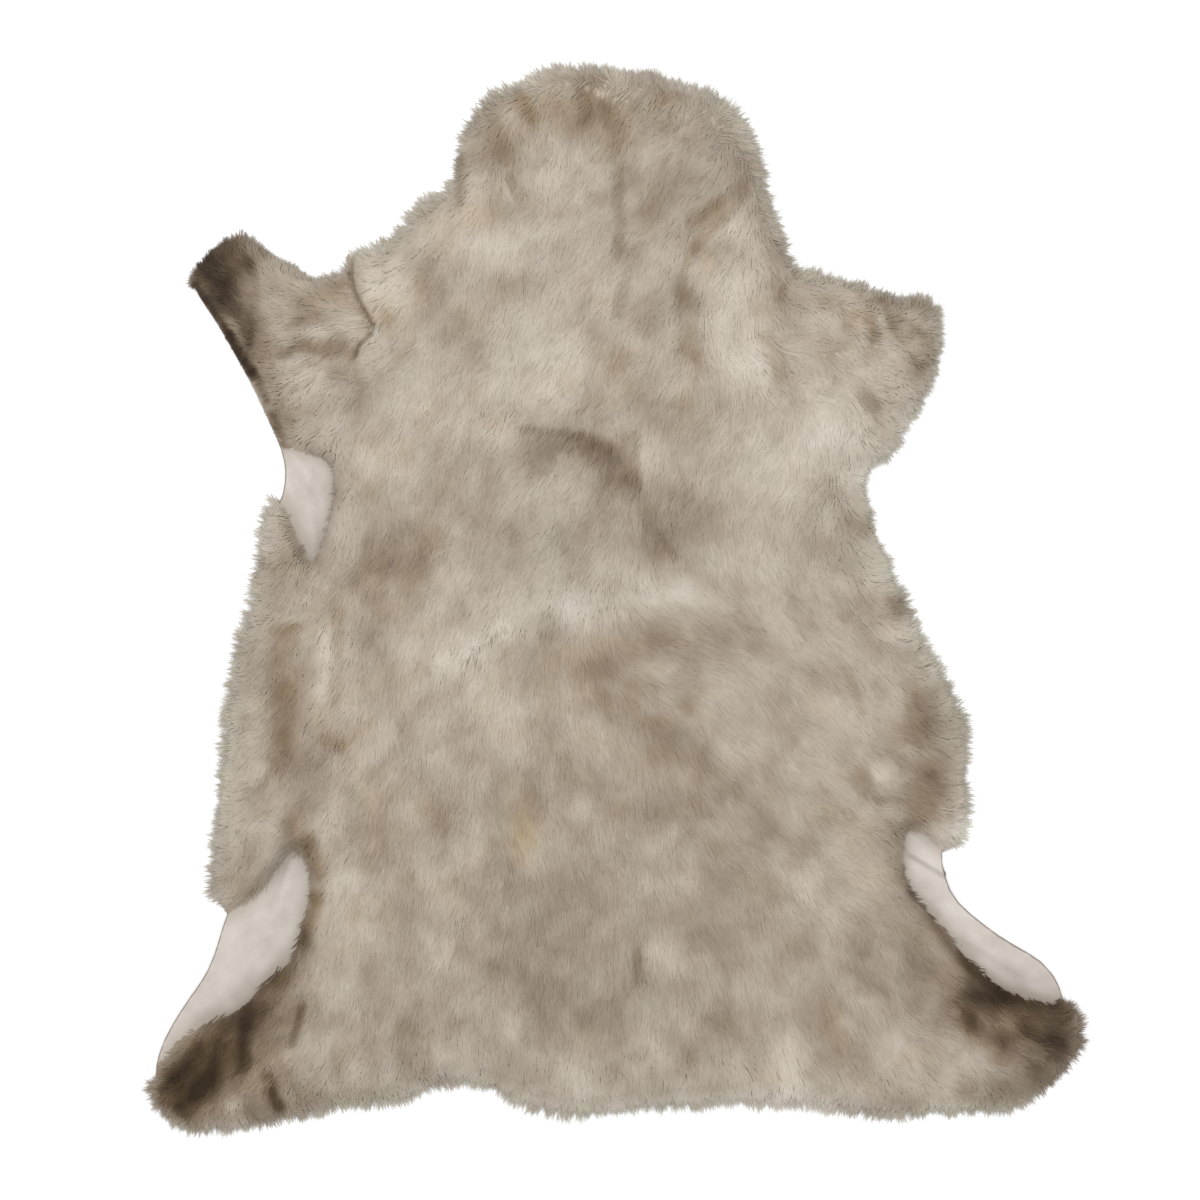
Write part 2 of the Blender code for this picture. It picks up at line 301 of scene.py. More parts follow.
def walk_round(edges):
    """The points of the longest closed line that these edges make, in order."""
    joined = {}
    for edge in edges:
        for vert in edge.verts:
            joined.setdefault(vert, []).append(edge.other_vert(vert))
    lines = []
    while joined:
        at, line = next(iter(joined)), []
        while at is not None:
            line.append(tuple(at.co.xy))
            ahead = joined.pop(at)
            at = next((vert for vert in ahead if vert in joined), None)
        lines.append(line)
    return np.array(max(lines, key=len))


def spaced_evenly(line, step):
    """The closed line again, with points that far apart along it."""
    closed = np.vstack([line, line[:1]])
    along = np.concatenate([[0], np.cumsum(np.linalg.norm(np.diff(closed, axis=0), axis=1))])
    stations = np.linspace(0, along[-1], int(along[-1] / step), endpoint=False)
    return np.stack([np.interp(stations, along, closed[:, k]) for k in (0, 1)], axis=1)


def widened(loop, width):
    """The closed line again, moved outwards by a width."""
    ahead = np.roll(loop, -1, axis=0)
    run = unit(ahead - np.roll(loop, 1, axis=0))
    turns_left = np.sign((loop[:, 0] * ahead[:, 1] - loop[:, 1] * ahead[:, 0]).sum())
    return loop + turns_left * width * np.stack([run[:, 1], -run[:, 0]], axis=1)


def swelling(places, column):
    """What a column of the rim's table adds at each place, in metres."""
    added = np.zeros(len(places))
    for row in RIM_ROWS:
        away = np.linalg.norm(places - np.array([row.across, row.along]) * MM, axis=1)
        added += getattr(row, column) * MM * np.exp(-0.5 * (away / row.spread / MM) ** 2)
    return added


outline = spaced_evenly(walk_round(border), OUTLINE_STEP)
margin = EDGE_MARGIN + swelling(outline, "edge")
outline = spaced_evenly(widened(outline, margin[:, None]), OUTLINE_STEP)
print("outline, mm round:", round(len(outline) * OUTLINE_STEP / MM), "points:", len(outline))

# %% Measure the way to the edge
CHUNK = 4000
OUTWARD_BLUR = 6 * MM


def nearest_on(loop, places):
    """For each place, the number of the nearest point of a closed line, and how far that is."""
    found, gap = [], []
    for start in range(0, len(places), CHUNK):
        squares = ((places[start:start + CHUNK, None] - loop[None]) ** 2).sum(axis=2)
        nearest = squares.argmin(axis=1)
        found.append(nearest)
        gap.append(np.sqrt(squares[np.arange(len(nearest)), nearest]))
    return np.concatenate(found), np.concatenate(gap)


def inside(loop, places):
    """True for each place that lies within a closed line."""
    within = np.zeros(len(places), bool)
    for (ax, ay), (bx, by) in zip(loop, np.roll(loop, -1, axis=0)):
        if ay != by:
            crosses = (ay > places[:, 1]) != (by > places[:, 1])
            within ^= crosses & (places[:, 0] < ax + (places[:, 1] - ay) * (bx - ax) / (by - ay))
    return within


nearest, gap = nearest_on(outline, flat_places)
depth = charted(np.where(inside(outline, flat_places), gap, -gap))
outward = unit(np.stack(np.gradient(-blurred(depth, OUTWARD_BLUR), CHART_STEP), axis=-1))
print("leather, square metres:", round(float((depth > 0).sum()) * CHART_STEP ** 2, 3))

# %% Measure how high the wool stands and how far it reaches
SKY_LEVEL = 0.2
REACH_WINDOW = 8 * MM
HEIGHT_BLUR = 7 * MM
LEAST_SHARE = 0.02

# A ray from the sky finds the solid's top at each place, and only tops over the leather are blended
tree = BVHTree.FromBMesh(solid)
hits = [tree.ray_cast((x, y, SKY_LEVEL), (0, 0, -1))[0] for x, y in flat_places]
raw_height = charted(np.array([hit.z if hit else 0.0 for hit in hits]))
leather_share = (depth > 0).astype(float)
near_share = np.maximum(blurred(leather_share, HEIGHT_BLUR), LEAST_SHARE)
height = blurred(raw_height * leather_share, HEIGHT_BLUR) / near_share

# The solid's points outside the outline say how far its locks reach there
solid_points = np.array([v.co.xy for v in solid.verts])
outer_points = solid_points[~inside(outline, solid_points)]
outer_mark, outer_gap = nearest_on(outline, outer_points)
window = int(REACH_WINDOW / OUTLINE_STEP)
rim_reach = np.zeros(len(outline))
for mark, far in zip(outer_mark, outer_gap):
    around = np.arange(mark - window, mark + window + 1) % len(outline)
    rim_reach[around] = np.maximum(rim_reach[around], far)
kernel = np.ones(window) / window
around_twice = np.concatenate([rim_reach[-window:], rim_reach, rim_reach[:window]])
rim_reach = np.convolve(around_twice, kernel, "same")[window:-window]
rim_reach = np.maximum(rim_reach + swelling(outline, "fringe"), 0)
reach = charted(rim_reach[nearest])
solid.free()
print("wool, mm high:", round(float(height.max()) / MM, 1))
print("fringe, mm past the leather:", round(float(rim_reach.mean()) / MM, 1))

# %% [markdown]
# ## Where the leather is bare
# Behind the left foreleg and inside both thighs the skin has hardly any wool, and smooth leather shows.
# Each bare place is a smooth closed outline through a few marks, across and along as before. It may run
# past the leather's edge. Near it fewer hairs grow, as cover says, and the wool stands lower, as fullness
# says.

# %% Chart the bare places
COVER_BAND = (-1.5 * MM, 5 * MM)
FULLNESS_BAND = (-3 * MM, 9 * MM)

Bare = namedtuple("Bare", "place marks")
Mark = namedtuple("Mark", "across along")
BARE_PLACES = (
    Bare("elbow", (
        Mark(-287, 132), Mark(-270, 128), Mark(-252, 121), Mark(-243, 108), Mark(-244, 86),
        Mark(-251, 58), Mark(-259, 36), Mark(-266, 36), Mark(-270, 48), Mark(-279, 66),
        Mark(-287, 82), Mark(-300, 88), Mark(-302, 112),
    )),
    Bare("thigh_left", (
        Mark(-278, -214), Mark(-265, -236), Mark(-264, -256), Mark(-270, -279), Mark(-279, -305),
        Mark(-297, -323), Mark(-310, -336), Mark(-327, -354), Mark(-352, -363), Mark(-377, -382),
        Mark(-398, -404), Mark(-420, -402), Mark(-400, -330), Mark(-362, -282), Mark(-350, -276),
        Mark(-336, -272), Mark(-315, -258), Mark(-289, -227),
    )),
    Bare("thigh_right", (
        Mark(255, -196), Mark(248, -214), Mark(249, -242), Mark(262, -264), Mark(280, -281),
        Mark(300, -306), Mark(326, -331), Mark(355, -343), Mark(383, -345), Mark(415, -325),
        Mark(360, -270), Mark(322, -244), Mark(302, -222), Mark(279, -214),
    )),
)
CURVE_STEPS = 6


def smooth_loop(marks):
    """A smooth closed curve through the marks, in metres."""
    at = np.array(marks) * MM
    before, after, last = np.roll(at, 1, axis=0), np.roll(at, -1, axis=0), np.roll(at, -2, axis=0)
    t = (np.arange(CURVE_STEPS) / CURVE_STEPS)[None, :, None]
    a, b, c, d = (part[:, None] for part in (before, at, after, last))
    curve = 2 * b + (c - a) * t + (2 * a - 5 * b + 4 * c - d) * t ** 2 + (3 * b - a - 3 * c + d) * t ** 3
    return (curve / 2).reshape(-1, 2)


bare_gap = np.full(len(flat_places), FAR)
for bare in BARE_PLACES:
    loop = smooth_loop(bare.marks)
    gap = nearest_on(loop, flat_places)[1] * np.where(inside(loop, flat_places), -1, 1)
    bare_gap = np.minimum(bare_gap, gap)
bare_gap = charted(bare_gap)
cover = smooth_share(bare_gap, *COVER_BAND)
fullness = smooth_share(bare_gap, *FULLNESS_BAND)
print("bare, square metres:", round(float(((bare_gap < 0) & (depth > 0)).sum()) * CHART_STEP ** 2, 4))

# %% [markdown]
# ## Which way the wool lies
# Wool grows from the head towards the tail and down the legs, so its lie changes slowly over the skin. The
# table gives the lie at places read off the photograph, as a compass would: 0 points right, 90 to the head
# and -90 to the tail. Length is the hair's length in millimetres and unrest how much its tufts disagree.

# %% Chart the lie
LIE_SPREAD = 48 * MM

Lie = namedtuple("Lie", "place across along heading length unrest")
LIES = (
    Lie("crown", -14, 425, -112, 17, 0.6),
    Lie("head_left", -105, 385, -98, 18, 0.9),
    Lie("head_right", 75, 385, -128, 18, 0.7),
    Lie("nape", 0, 309, -118, 18, 0.6),
    Lie("neck_left", -130, 300, -108, 18, 0.8),
    Lie("neck_right", 106, 300, -118, 18, 0.7),
    Lie("foreleg_left_root", -215, 255, -135, 15, 1.0),
    Lie("foreleg_left_shank", -280, 250, 160, 13, 1.2),
    Lie("foreleg_left_toe", -337, 285, 128, 12, 1.0),
    Lie("foreleg_left_back", -290, 180, -150, 13, 1.0),
    Lie("foreleg_right_root", 165, 230, -40, 14, 1.2),
    Lie("foreleg_right_shank", 225, 200, -25, 12, 1.6),
    Lie("foreleg_right_toe", 270, 235, 5, 12, 1.4),
    Lie("chest_left", -186, 129, -100, 18, 0.7),
    Lie("chest_middle", -49, 146, -114, 18, 0.6),
    Lie("chest_right", 135, 111, -130, 18, 0.6),
    Lie("armpit_right", 205, 105, -95, 15, 0.9),
    Lie("back_upper", -49, 45, -114, 18, 0.5),
    Lie("back_upper_right", 110, 40, -75, 18, 0.6),
    Lie("flank_left", -272, -18, -118, 17, 0.8),
    Lie("ridge_below", 72, -35, -18, 18, 0.4),
    Lie("flank_right_upper", 190, 0, -45, 17, 0.6),
    Lie("back_left", -160, -100, -97, 18, 0.5),
    Lie("back_middle", -14, -138, -82, 18, 0.5),
    Lie("back_right", 123, -121, -52, 18, 0.6),
    Lie("flank_right", 244, -75, -38, 17, 0.8),
    Lie("haunch_right", 240, -175, -32, 16, 0.8),
    Lie("flank_left_low", -307, -200, -120, 17, 0.8),
    Lie("rump_left", -186, -301, -99, 18, 0.5),
    Lie("rump_middle", -14, -344, -90, 18, 0.5),
    Lie("rump_right", 158, -327, -66, 18, 0.5),
    Lie("thigh_left", -315, -379, -122, 14, 0.7),
    Lie("thigh_right", 338, -379, -38, 14, 0.7),
)

lie_places = np.array([(lie.across, lie.along) for lie in LIES]) * MM
lie_ways = flat_places[:, None] - lie_places[None]
pull = np.exp(-0.5 * (lie_ways ** 2).sum(axis=2) / LIE_SPREAD ** 2) + TINY
pull /= pull.sum(axis=1, keepdims=True)
headings = np.radians([lie.heading for lie in LIES])
lay_x = charted(pull @ np.cos(headings))
lay_y = charted(pull @ np.sin(headings))
hair_length = charted(pull @ np.array([lie.length for lie in LIES])) * MM
unrest = charted(pull @ np.array([lie.unrest for lie in LIES]))
print("places with a lie:", len(LIES))

# %% [markdown]
# ## The wool's colour
# The wool is natural, neither dyed nor even: cream where the tips catch the light, greige over the back,
# brown in the hollows, where painted shade darkens it too, and dark on the leg tips. Each blot is a soft
# oval, and each stroke a soft line with a crease or parting under it. Where a stroke parts the wool, its
# darker tone is partly browner roots and partly painted shade. Tone runs lighter above 0 and darker below
# it. Warmth runs browner above 0 and greyer below it. Sink is how deep a stroke parts the wool, in
# millimetres. The fold lines are strokes too, but narrow and dark with the painted shadow under a fold,
# and where they meet only the darker counts, so that they make one even line.

# %% List the blots
Blot = namedtuple("Blot", "place across along half_across half_along turn tone warmth")
BLOTS = (
    Blot("toe_left", -342, 290, 34, 24, 35, -0.34, 0.28),
    Blot("elbow", -270, 92, 26, 48, 12, -0.04, 0.0),
    Blot("toe_left_back", -326, 242, 17, 46, 28, -0.24, 0.14),
    Blot("shank_left_spot", -319, 205, 6, 14, 28, -0.16, 0.08),
    Blot("shank_left_light", -286, 254, 22, 24, 20, -0.03, 0.04),
    Blot("fold_left_light", -238, 250, 15, 16, 18, -0.02, 0.04),
    Blot("fold_left_shade", -253, 262, 30, 30, 18, -0.04, 0.04),
    Blot("back_edge_shade", -294, 173, 10, 30, 26, -0.1, 0.0),
    Blot("shoulder_left", -193, 271, 18, 24, 10, 0.12, -0.12),
    Blot("shoulder_left_low", -170, 190, 50, 44, 10, 0.04, 0.00),
    Blot("leg_left_tip", -372, -424, 30, 17, 40, -0.26, 0.3),
    Blot("leg_left_middle", -342, -392, 50, 28, 40, -0.25, 0.34),
    Blot("leg_left_low", -300, -409, 30, 26, 10, -0.09, 0.12),
    Blot("leg_left_inner", -287, -351, 22, 20, 30, -0.05, 0.1),
    Blot("leg_right_middle", 352, -360, 60, 34, -22, -0.345, 0.34),
    Blot("leg_right_grey", 327, -355, 15, 9, -10, 0.16, -0.08),
    Blot("leg_right_inner", 319, -339, 24, 12, -36, -0.16, 0.1),
    Blot("leg_right_spot", 301, -361, 6, 8, 0, -0.14, 0.06),
    Blot("leg_right_under", 326, -387, 11, 17, 10, -0.1, 0.16),
    Blot("leg_right_low", 347, -418, 40, 16, 10, -0.1, -0.26),
    # Painted shade in the chest's hollow, on browner wool
    Blot("chest_hollow", -40, 127, 40, 11, -9, -0.03, 0.08),
    Blot("chest_light", 149, 125, 66, 54, 20, 0.09, -0.04),
    Blot("chest_light_left", -60, 205, 66, 44, 30, 0.06, 0.00),
    Blot("chest_light_far", -190, 120, 52, 44, 0, 0.03, 0.04),
    Blot("neck_light_right", 106, 299, 24, 40, -6, 0.09, -0.06),
    Blot("neck_olive", 78, 286, 9, 13, 0, -0.01, 0.26),
    Blot("neck_between", 84, 332, 20, 8, 41, -0.03, 0.14),
    Blot("neck_light_low", 107, 212, 28, 26, 0, 0.1, 0.0),
    Blot("neck_light_left", -119, 309, 42, 28, -10, 0.05, 0.0),
    Blot("head_brown", -20, 412, 100, 26, 0, -0.07, 0.12),
    Blot("head_spot_right", 44, 430, 13, 13, 0, -0.08, 0.20),
    Blot("head_pit_left", -93, 387, 14, 12, -30, -0.07, 0.14),
    Blot("head_corner_right", 92, 418, 20, 13, -40, -0.03, -0.24),
    Blot("head_right_light", 98, 378, 30, 44, 20, 0.03, -0.08),
    Blot("foreleg_right_light", 215, 150, 44, 44, 0, 0.03, -0.02),
    Blot("foreleg_right_dark", 246, 206, 40, 50, 0, 0.025, 0.0),
    Blot("foreleg_right_warm", 190, 200, 30, 44, 0, 0.05, 0.08),
    Blot("parting_glow", -40, -4, 120, 30, 18, 0.06, -0.06),
    Blot("centre_grey", -40, 70, 76, 62, 0, -0.01, -0.20),
    Blot("centre_patch", 41, 47, 12, 12, -20, -0.07, 0.1),
    Blot("below_parting", -20, -42, 60, 17, 6, -0.05, 0.16),
    Blot("below_parting_low", -6, -72, 30, 26, 0, -0.04, 0.08),
    Blot("elbow_brown", -158, 45, 14, 20, 0, -0.08, 0.14),
    Blot("elbow_brown_low", -190, 10, 26, 30, 20, -0.04, 0.12),
    Blot("flank_brown_right", 257, -95, 12, 30, 8, -0.09, 0.20),
    Blot("haunch_brown_right", 264, -166, 17, 26, -8, -0.13, 0.22),
    Blot("haunch_light_right", 283, -202, 26, 12, 10, 0.17, -0.04),
    Blot("flank_light_right", 226, -145, 9, 9, 0, 0.10, 0.00),
    Blot("flank_light_high", 258, -131, 12, 8, 0, 0.07, -0.04),
    Blot("rim_right", 294, -108, 14, 46, 0, 0.06, -0.12),
    Blot("rim_head", -14, 455, 46, 9, 0, -0.02, 0.0),
    Blot("side_light_right", 223, 30, 17, 30, 25, 0.09, -0.06),
    Blot("shank_light_top", 184, 265, 28, 9, -20, 0.06, -0.04),
    Blot("leg_left_under", -300, -442, 34, 10, 6, -0.14, -0.06),
    Blot("leg_left_under_far", -229, -428, 44, 9, 6, -0.06, -0.08),
    Blot("rim_bottom", 72, -434, 62, 9, 0, 0.04, 0.0),
    Blot("rim_right_high", 259, -35, 10, 34, -30, 0.0, -0.14),
    Blot("notch_right", 246, -6, 10, 8, 0, -0.14, -0.20),
    Blot("back_warm", 30, -120, 190, 84, 0, -0.03, 0.06),
    Blot("rump_cool", -20, -290, 120, 84, 0, -0.01, -0.14),
    Blot("rump_yellow", -79, -210, 13, 28, 0, 0.01, 0.46),
    Blot("rump_light", 41, -298, 14, 26, 0, 0.09, 0.00),
    Blot("rump_light_low", 140, -400, 20, 26, 0, 0.10, 0.08),
    Blot("rump_yellow_right", 184, -368, 16, 32, 0, 0.00, 0.26),
    Blot("rump_left_light", -200, -270, 60, 90, 0, 0.01, 0.02),
    Blot("flank_left_light", -329, -147, 18, 84, 6, -0.02, -0.06),
    Blot("back_left_light", -160, -90, 70, 70, 0, 0.05, 0.00),
    Blot("back_right_light", 132, -86, 64, 56, 0, 0.05, 0.04),
    Blot("rump_low_light", 10, -408, 90, 28, 0, 0.03, -0.02),
    Blot("flank_left_warm", -288, -69, 17, 20, 0, -0.06, 0.2),
    Blot("flank_left_warm_low", -283, -112, 15, 30, 4, -0.05, 0.12),
)

# %% List the strokes
# A stroke that parts the wool darkens it along its line: browner roots, and painted shade in the parting
Stroke = namedtuple("Stroke", "place across along to_across to_along width tone warmth sink")
STROKES = (
    Stroke("pit_left", -84, 433, -72, 412, 6, -0.1, 0.12, 2),
    Stroke("pit_middle", -27, 434, -24, 414, 6, -0.08, 0.12, 2),
    Stroke("pit_right", -9, 426, 3, 394, 7, -0.07, 0.1, 1.5),
    Stroke("pit_low", -100, 382, -86, 370, 6, -0.05, 0.1, 1.4),
    Stroke("flank_mark_right", 197, -59, 208, -95, 4, -0.06, 0.1, 1.2),
    Stroke("haunch_tick_right", 222, -171, 238, -172, 3, -0.06, 0.06, 1),
    Stroke("curl", -90, 361, -84, 344, 4, -0.09, 0.06, 2),
    Stroke("temple", -136, 381, -134, 341, 4, -0.15, 0.04, 2),
    Stroke("nape_high", 2, 378, 2, 330, 5, -0.08, 0.06, 2),
    Stroke("nape_middle", 3, 323, 2, 296, 5, -0.09, -0.06, 2),
    Stroke("nape_low", 6, 268, 2, 244, 5, -0.07, -0.14, 2),
    Stroke("nape_side", -24, 250, -20, 212, 8, -0.05, -0.04, 1),
    # The neck's crease: its dark is painted shade along the crease, with browner wool
    Stroke("neck_crease_high", 115, 359, 86, 339, 5, -0.08, 0.16, 1.2),
    Stroke("neck_crease_bend", 86, 338, 65, 325, 6, -0.07, 0.16, 1.2),
    Stroke("neck_second_high", 113, 349, 92, 328, 4, -0.06, 0.16, 1),
    Stroke("neck_second", 90, 326, 69, 304, 5, -0.07, 0.18, 1.2),
    Stroke("neck_second_low", 66, 300, 59, 287, 5, -0.05, 0.18, 1),
    Stroke("neck_crease_middle", 56, 275, 58, 264, 6, -0.04, 0.16, 1),
    Stroke("neck_crease_low", 60, 254, 62, 213, 10, -0.11, 0.2, 1.2),
    Stroke("neck_crease_end", 63, 206, 60, 175, 10, -0.06, 0.14, 0.8),
    Stroke("shank_right_high", 216, 219, 227, 258, 3, -0.07, 0.04, 1.2),
    Stroke("shank_right_back", 230, 256, 238, 227, 3, -0.07, 0.04, 1.2),
    Stroke("shank_right_low", 254, 205, 270, 195, 4, -0.03, 0.0, 0.8),
    Stroke("shank_right_spot", 213, 172, 219, 165, 6, -0.13, -0.06, 1.2),
    Stroke("shank_right_toe", 254, 234, 264, 222, 5, -0.06, 0.0, 1.5),
    Stroke("toe_right_corner", 232, 262, 276, 246, 8, -0.05, -0.2, 1),
    Stroke("root_right", 129, 222, 141, 193, 8, -0.08, 0.18, 2),
    Stroke("notch_line_right", 154, 283, 137, 256, 2.6, -0.09, 0.06, 1),
    # The left foreleg's fold: fold_tail and fold_under paint the shadow along and under its bulge
    Stroke("fold_tail", -223, 208, -219, 187, 5, -0.06, 0.16, 0.6),
    Stroke("fold_bulge", -238, 270, -227, 242, 11, 0.0, 0.0, -2),
    Stroke("fold_under", -263, 216, -226, 213, 8, -0.13, 0.14, 1.4),
    # Painted shadow where the wool ends over the leather's back edge, on dark roots
    Stroke("back_edge_middle", -333, 227, -315, 196, 4, -0.34, 0.06, 1),
    Stroke("fold_light_far", -215, 295, -207, 266, 8, 0.04, 0.0, -1),
    Stroke("fold_shadow", -203, 289, -194, 227, 6, -0.05, 0.1, 0.8),
    # Painted shadow under the fold, further left
    Stroke("fold_under_left", -272, 221, -257, 213, 5, -0.05, 0.12, 1),
    Stroke("curl_left_first", -281, 231, -267, 239, 3, -0.06, 0.04, 1),
    Stroke("curl_left_second", -287, 209, -272, 215, 3, -0.06, 0.04, 1),
    Stroke("curl_left_third", -274, 195, -257, 203, 3, -0.05, 0.04, 1),
    Stroke("curl_left_fourth", -277, 179, -262, 184, 3, -0.06, 0.04, 1),
    Stroke("curl_left_pale", -270, 225, -253, 230, 4, 0.05, 0.0, -0.6),
    Stroke("curl_left_pale_low", -279, 201, -265, 208, 4, 0.05, 0.0, -0.6),
    Stroke("toe_left_line", -362, 290, -336, 256, 5, -0.06, 0.04, 1),
    Stroke("toe_left_streak", -317, 294, -305, 256, 4, -0.09, 0.06, 1),
    Stroke("toe_left_inner", -310, 258, -315, 218, 3.5, -0.09, 0.06, 1),
    Stroke("toe_left_sliver", -332, 240, -321, 215, 4, 0.16, -0.06, 0),
    # Painted shadow where the wool ends over the leather's back edge, on dark roots
    Stroke("back_edge_high", -364, 272, -333, 227, 3, -0.26, 0.06, 1),
    Stroke("back_edge_low", -313, 196, -302, 171, 3.6, -0.26, 0.06, 1),
    Stroke("back_edge_end", -296, 158, -285, 130, 3.2, -0.2, 0.08, 1),
    Stroke("fold_shade", -228, 194, -219, 172, 10, -0.05, 0.18, 1),
    # The chest's crease: its dark is painted shade in the crease, with browner wool
    Stroke("crease_tick", -129, 131, -105, 136, 4, -0.05, 0.1, 1),
    Stroke("crease_left", -107, 151, -85, 146, 7, -0.05, 0.16, 1),
    Stroke("crease_high", -80, 146, -31, 141, 3.4, -0.13, 0.16, 1.4),
    Stroke("crease_middle", -37, 139, -6, 131, 5.5, -0.12, 0.16, 1.4),
    Stroke("crease_fill", -59, 136, -4, 127, 8, -0.06, 0.12, 0.8),
    Stroke("crease_deep", -19, 130, -1, 110, 12, -0.14, 0.14, 1.2),
    Stroke("crease_turn", 8, 139, 14, 104, 7, -0.08, 0.16, 1.2),
    Stroke("crease_low", -12, 104, 18, 97, 4, -0.06, 0.14, 1),
    Stroke("crease_under", -61, 124, -21, 114, 7, -0.02, 0.04, 0.8),
    Stroke("crease_edge", 15, 142, 20, 98, 2.4, -0.05, 0.12, 1),
    Stroke("chest_spot_tick", 39, 51, 51, 37, 4, -0.05, 0.08, 1),
    Stroke("centre_line", -38, 17, 14, 10, 5, -0.07, 0.08, 2),
    Stroke("centre_line_left", -44, 44, -40, 22, 4, -0.06, 0.00, 1),
    Stroke("parting_left", -149, -57, -94, -26, 8, 0.08, -0.06, -1.5),
    Stroke("parting_middle", -94, -25, -39, -4, 12, 0.06, -0.06, -1.2),
    Stroke("parting_right", -39, -4, 50, 10, 12, 0.06, -0.06, -1.2),
    Stroke("parting_end", 50, 10, 90, -2, 9, 0.06, -0.04, -1),
    Stroke("tick_first", -133, -55, -127, -55, 1.5, -0.16, 0.0, 0.8),
    Stroke("tick_second", -122, -49, -116, -59, 1.5, -0.14, 0.0, 0.8),
    Stroke("tick_third", -119, -45, -111, -40, 1.5, -0.18, 0.0, 0.8),
    Stroke("tick_fourth", -110, -41, -105, -35, 1.5, -0.16, 0.0, 0.8),
    Stroke("tick_fifth", -104, -31, -95, -26, 1.5, -0.18, 0.0, 0.8),
    Stroke("tick_sixth", -95, -29, -86, -27, 1.5, -0.14, 0.0, 0.8),
    Stroke("tick_seventh", -65, -16, -55, -11, 1.5, -0.09, 0.0, 0.6),
    # The left flank's valley: its dark is painted shade in the valley, with browner wool
    Stroke("valley_high", -281, -26, -289, -49, 9, -0.05, 0.18, 1.2),
    Stroke("valley_middle", -285, -78, -285, -119, 9, -0.07, 0.14, 1.4),
    Stroke("valley_low", -286, -119, -295, -135, 7, -0.07, 0.12, 1.4),
    Stroke("valley_tail", -283, -134, -306, -161, 5, -0.08, 0.1, 1.4),
    Stroke("valley_tick", -295, -25, -269, -24, 4, -0.06, 0.14, 1),
    Stroke("valley_branch", -210, -105, -236, -125, 5, -0.05, 0.14, 1.2),
    Stroke("valley_branch_end", -236, -125, -250, -119, 5, -0.03, 0.12, 0.8),
    Stroke("flank_line", -236, -11, -241, -86, 5, -0.05, 0.1, 1.2),
    Stroke("flank_ridge", -247, -30, -247, -78, 8, 0.08, 0.00, -2),
    Stroke("stifle_high", -277, -195, -266, -209, 9, -0.14, 0.2, 1.6),
    Stroke("stifle_low", -264, -211, -256, -231, 8, -0.13, 0.2, 1.4),
    Stroke("thigh_left_top", -255, -238, -259, -257, 7, -0.08, 0.16, 1),
    Stroke("thigh_left_high", -260, -260, -270, -291, 9, -0.13, 0.18, 1.2),
    Stroke("thigh_left_middle", -270, -293, -289, -322, 10, -0.12, 0.2, 1.2),
    Stroke("thigh_left_low", -290, -324, -313, -350, 13, -0.16, 0.2, 1.2),
    Stroke("thigh_left_end", -319, -351, -358, -382, 8, -0.1, 0.12, 1),
    Stroke("thigh_left_line", -268, -348, -276, -379, 3.4, -0.15, 0.16, 1.2),
    Stroke("leg_left_streak", -318, -365, -319, -399, 5.5, -0.22, 0.08, 1.4),
    Stroke("leg_left_hook", -338, -381, -348, -412, 7, -0.14, 0.1, 1),
    Stroke("leg_left_outer", -360, -387, -386, -413, 6, -0.14, 0.1, 0.8),
    Stroke("leg_left_toe", -393, -422, -382, -412, 3.5, -0.12, 0.06, 0.8),
    Stroke("leg_left_sole", -377, -439, -362, -453, 6, -0.12, 0.08, 0.8),
    Stroke("leg_left_pale", -350, -399, -365, -412, 4, 0.1, 0.02, 0),
    Stroke("leg_left_pale_end", -367, -420, -379, -429, 4, 0.07, 0.02, 0),
    Stroke("leg_left_rear", -300, -408, -293, -437, 5, -0.1, 0.12, 1.2),
    Stroke("leg_left_rear_pale", -334, -420, -324, -448, 6, 0.06, 0.0, 0),
    Stroke("thigh_left_streak", -297, -408, -289, -436, 5, -0.14, 0.1, 2),
    Stroke("rump_tick", 18, -300, 18, -324, 4, -0.09, 0.04, 2),
    Stroke("thigh_right_high", 248, -233, 254, -248, 4, -0.08, 0.1, 1),
    Stroke("thigh_right_middle", 254, -252, 276, -270, 4.5, -0.2, 0.08, 1.2),
    Stroke("thigh_right_low", 275, -279, 302, -312, 8, -0.15, 0.16, 1.2),
    Stroke("thigh_right_end", 297, -308, 333, -336, 6, -0.1, 0.1, 1),
    Stroke("thigh_right_tip", 333, -336, 392, -353, 5, -0.06, 0.06, 0.8),
    Stroke("leg_right_pale", 356, -334, 381, -344, 3.4, 0.1, 0.0, 0),
    Stroke("leg_right_streak", 344, -367, 381, -381, 5, -0.08, 0.06, 1),
    Stroke("leg_right_rear", 294, -344, 307, -379, 8, -0.06, 0.14, 1),
    Stroke("curl_right_top", 220, 258, 233, 258, 4, -0.046, 0.04, 1),
    Stroke("curl_right_high", 219, 256, 216, 240, 4, -0.052, 0.06, 1),
    Stroke("curl_right_middle", 216, 240, 222, 225, 4, -0.052, 0.06, 1),
    Stroke("curl_right_low", 222, 225, 216, 209, 4, -0.046, 0.04, 1),
    Stroke("curl_right_inner", 230, 248, 236, 234, 4, -0.039, 0.04, 1),
    Stroke("curl_right_pale", 227, 239, 227, 218, 4, 0.05, 0.0, -0.6),
    Stroke("curl_right_out", 245, 221, 258, 230, 4, -0.06, 0.04, 1),
    Stroke("curl_right_far", 258, 195, 270, 205, 4, -0.07, 0.04, 1),
    Stroke("curl_right_left", 178, 178, 190, 185, 4, -0.06, 0.04, 1),
    Stroke("curl_right_near", 197, 232, 203, 244, 4, -0.05, 0.04, 1),
    Stroke("curl_right_corner", 259, 255, 276, 257, 6, -0.08, -0.1, 0.6),
)
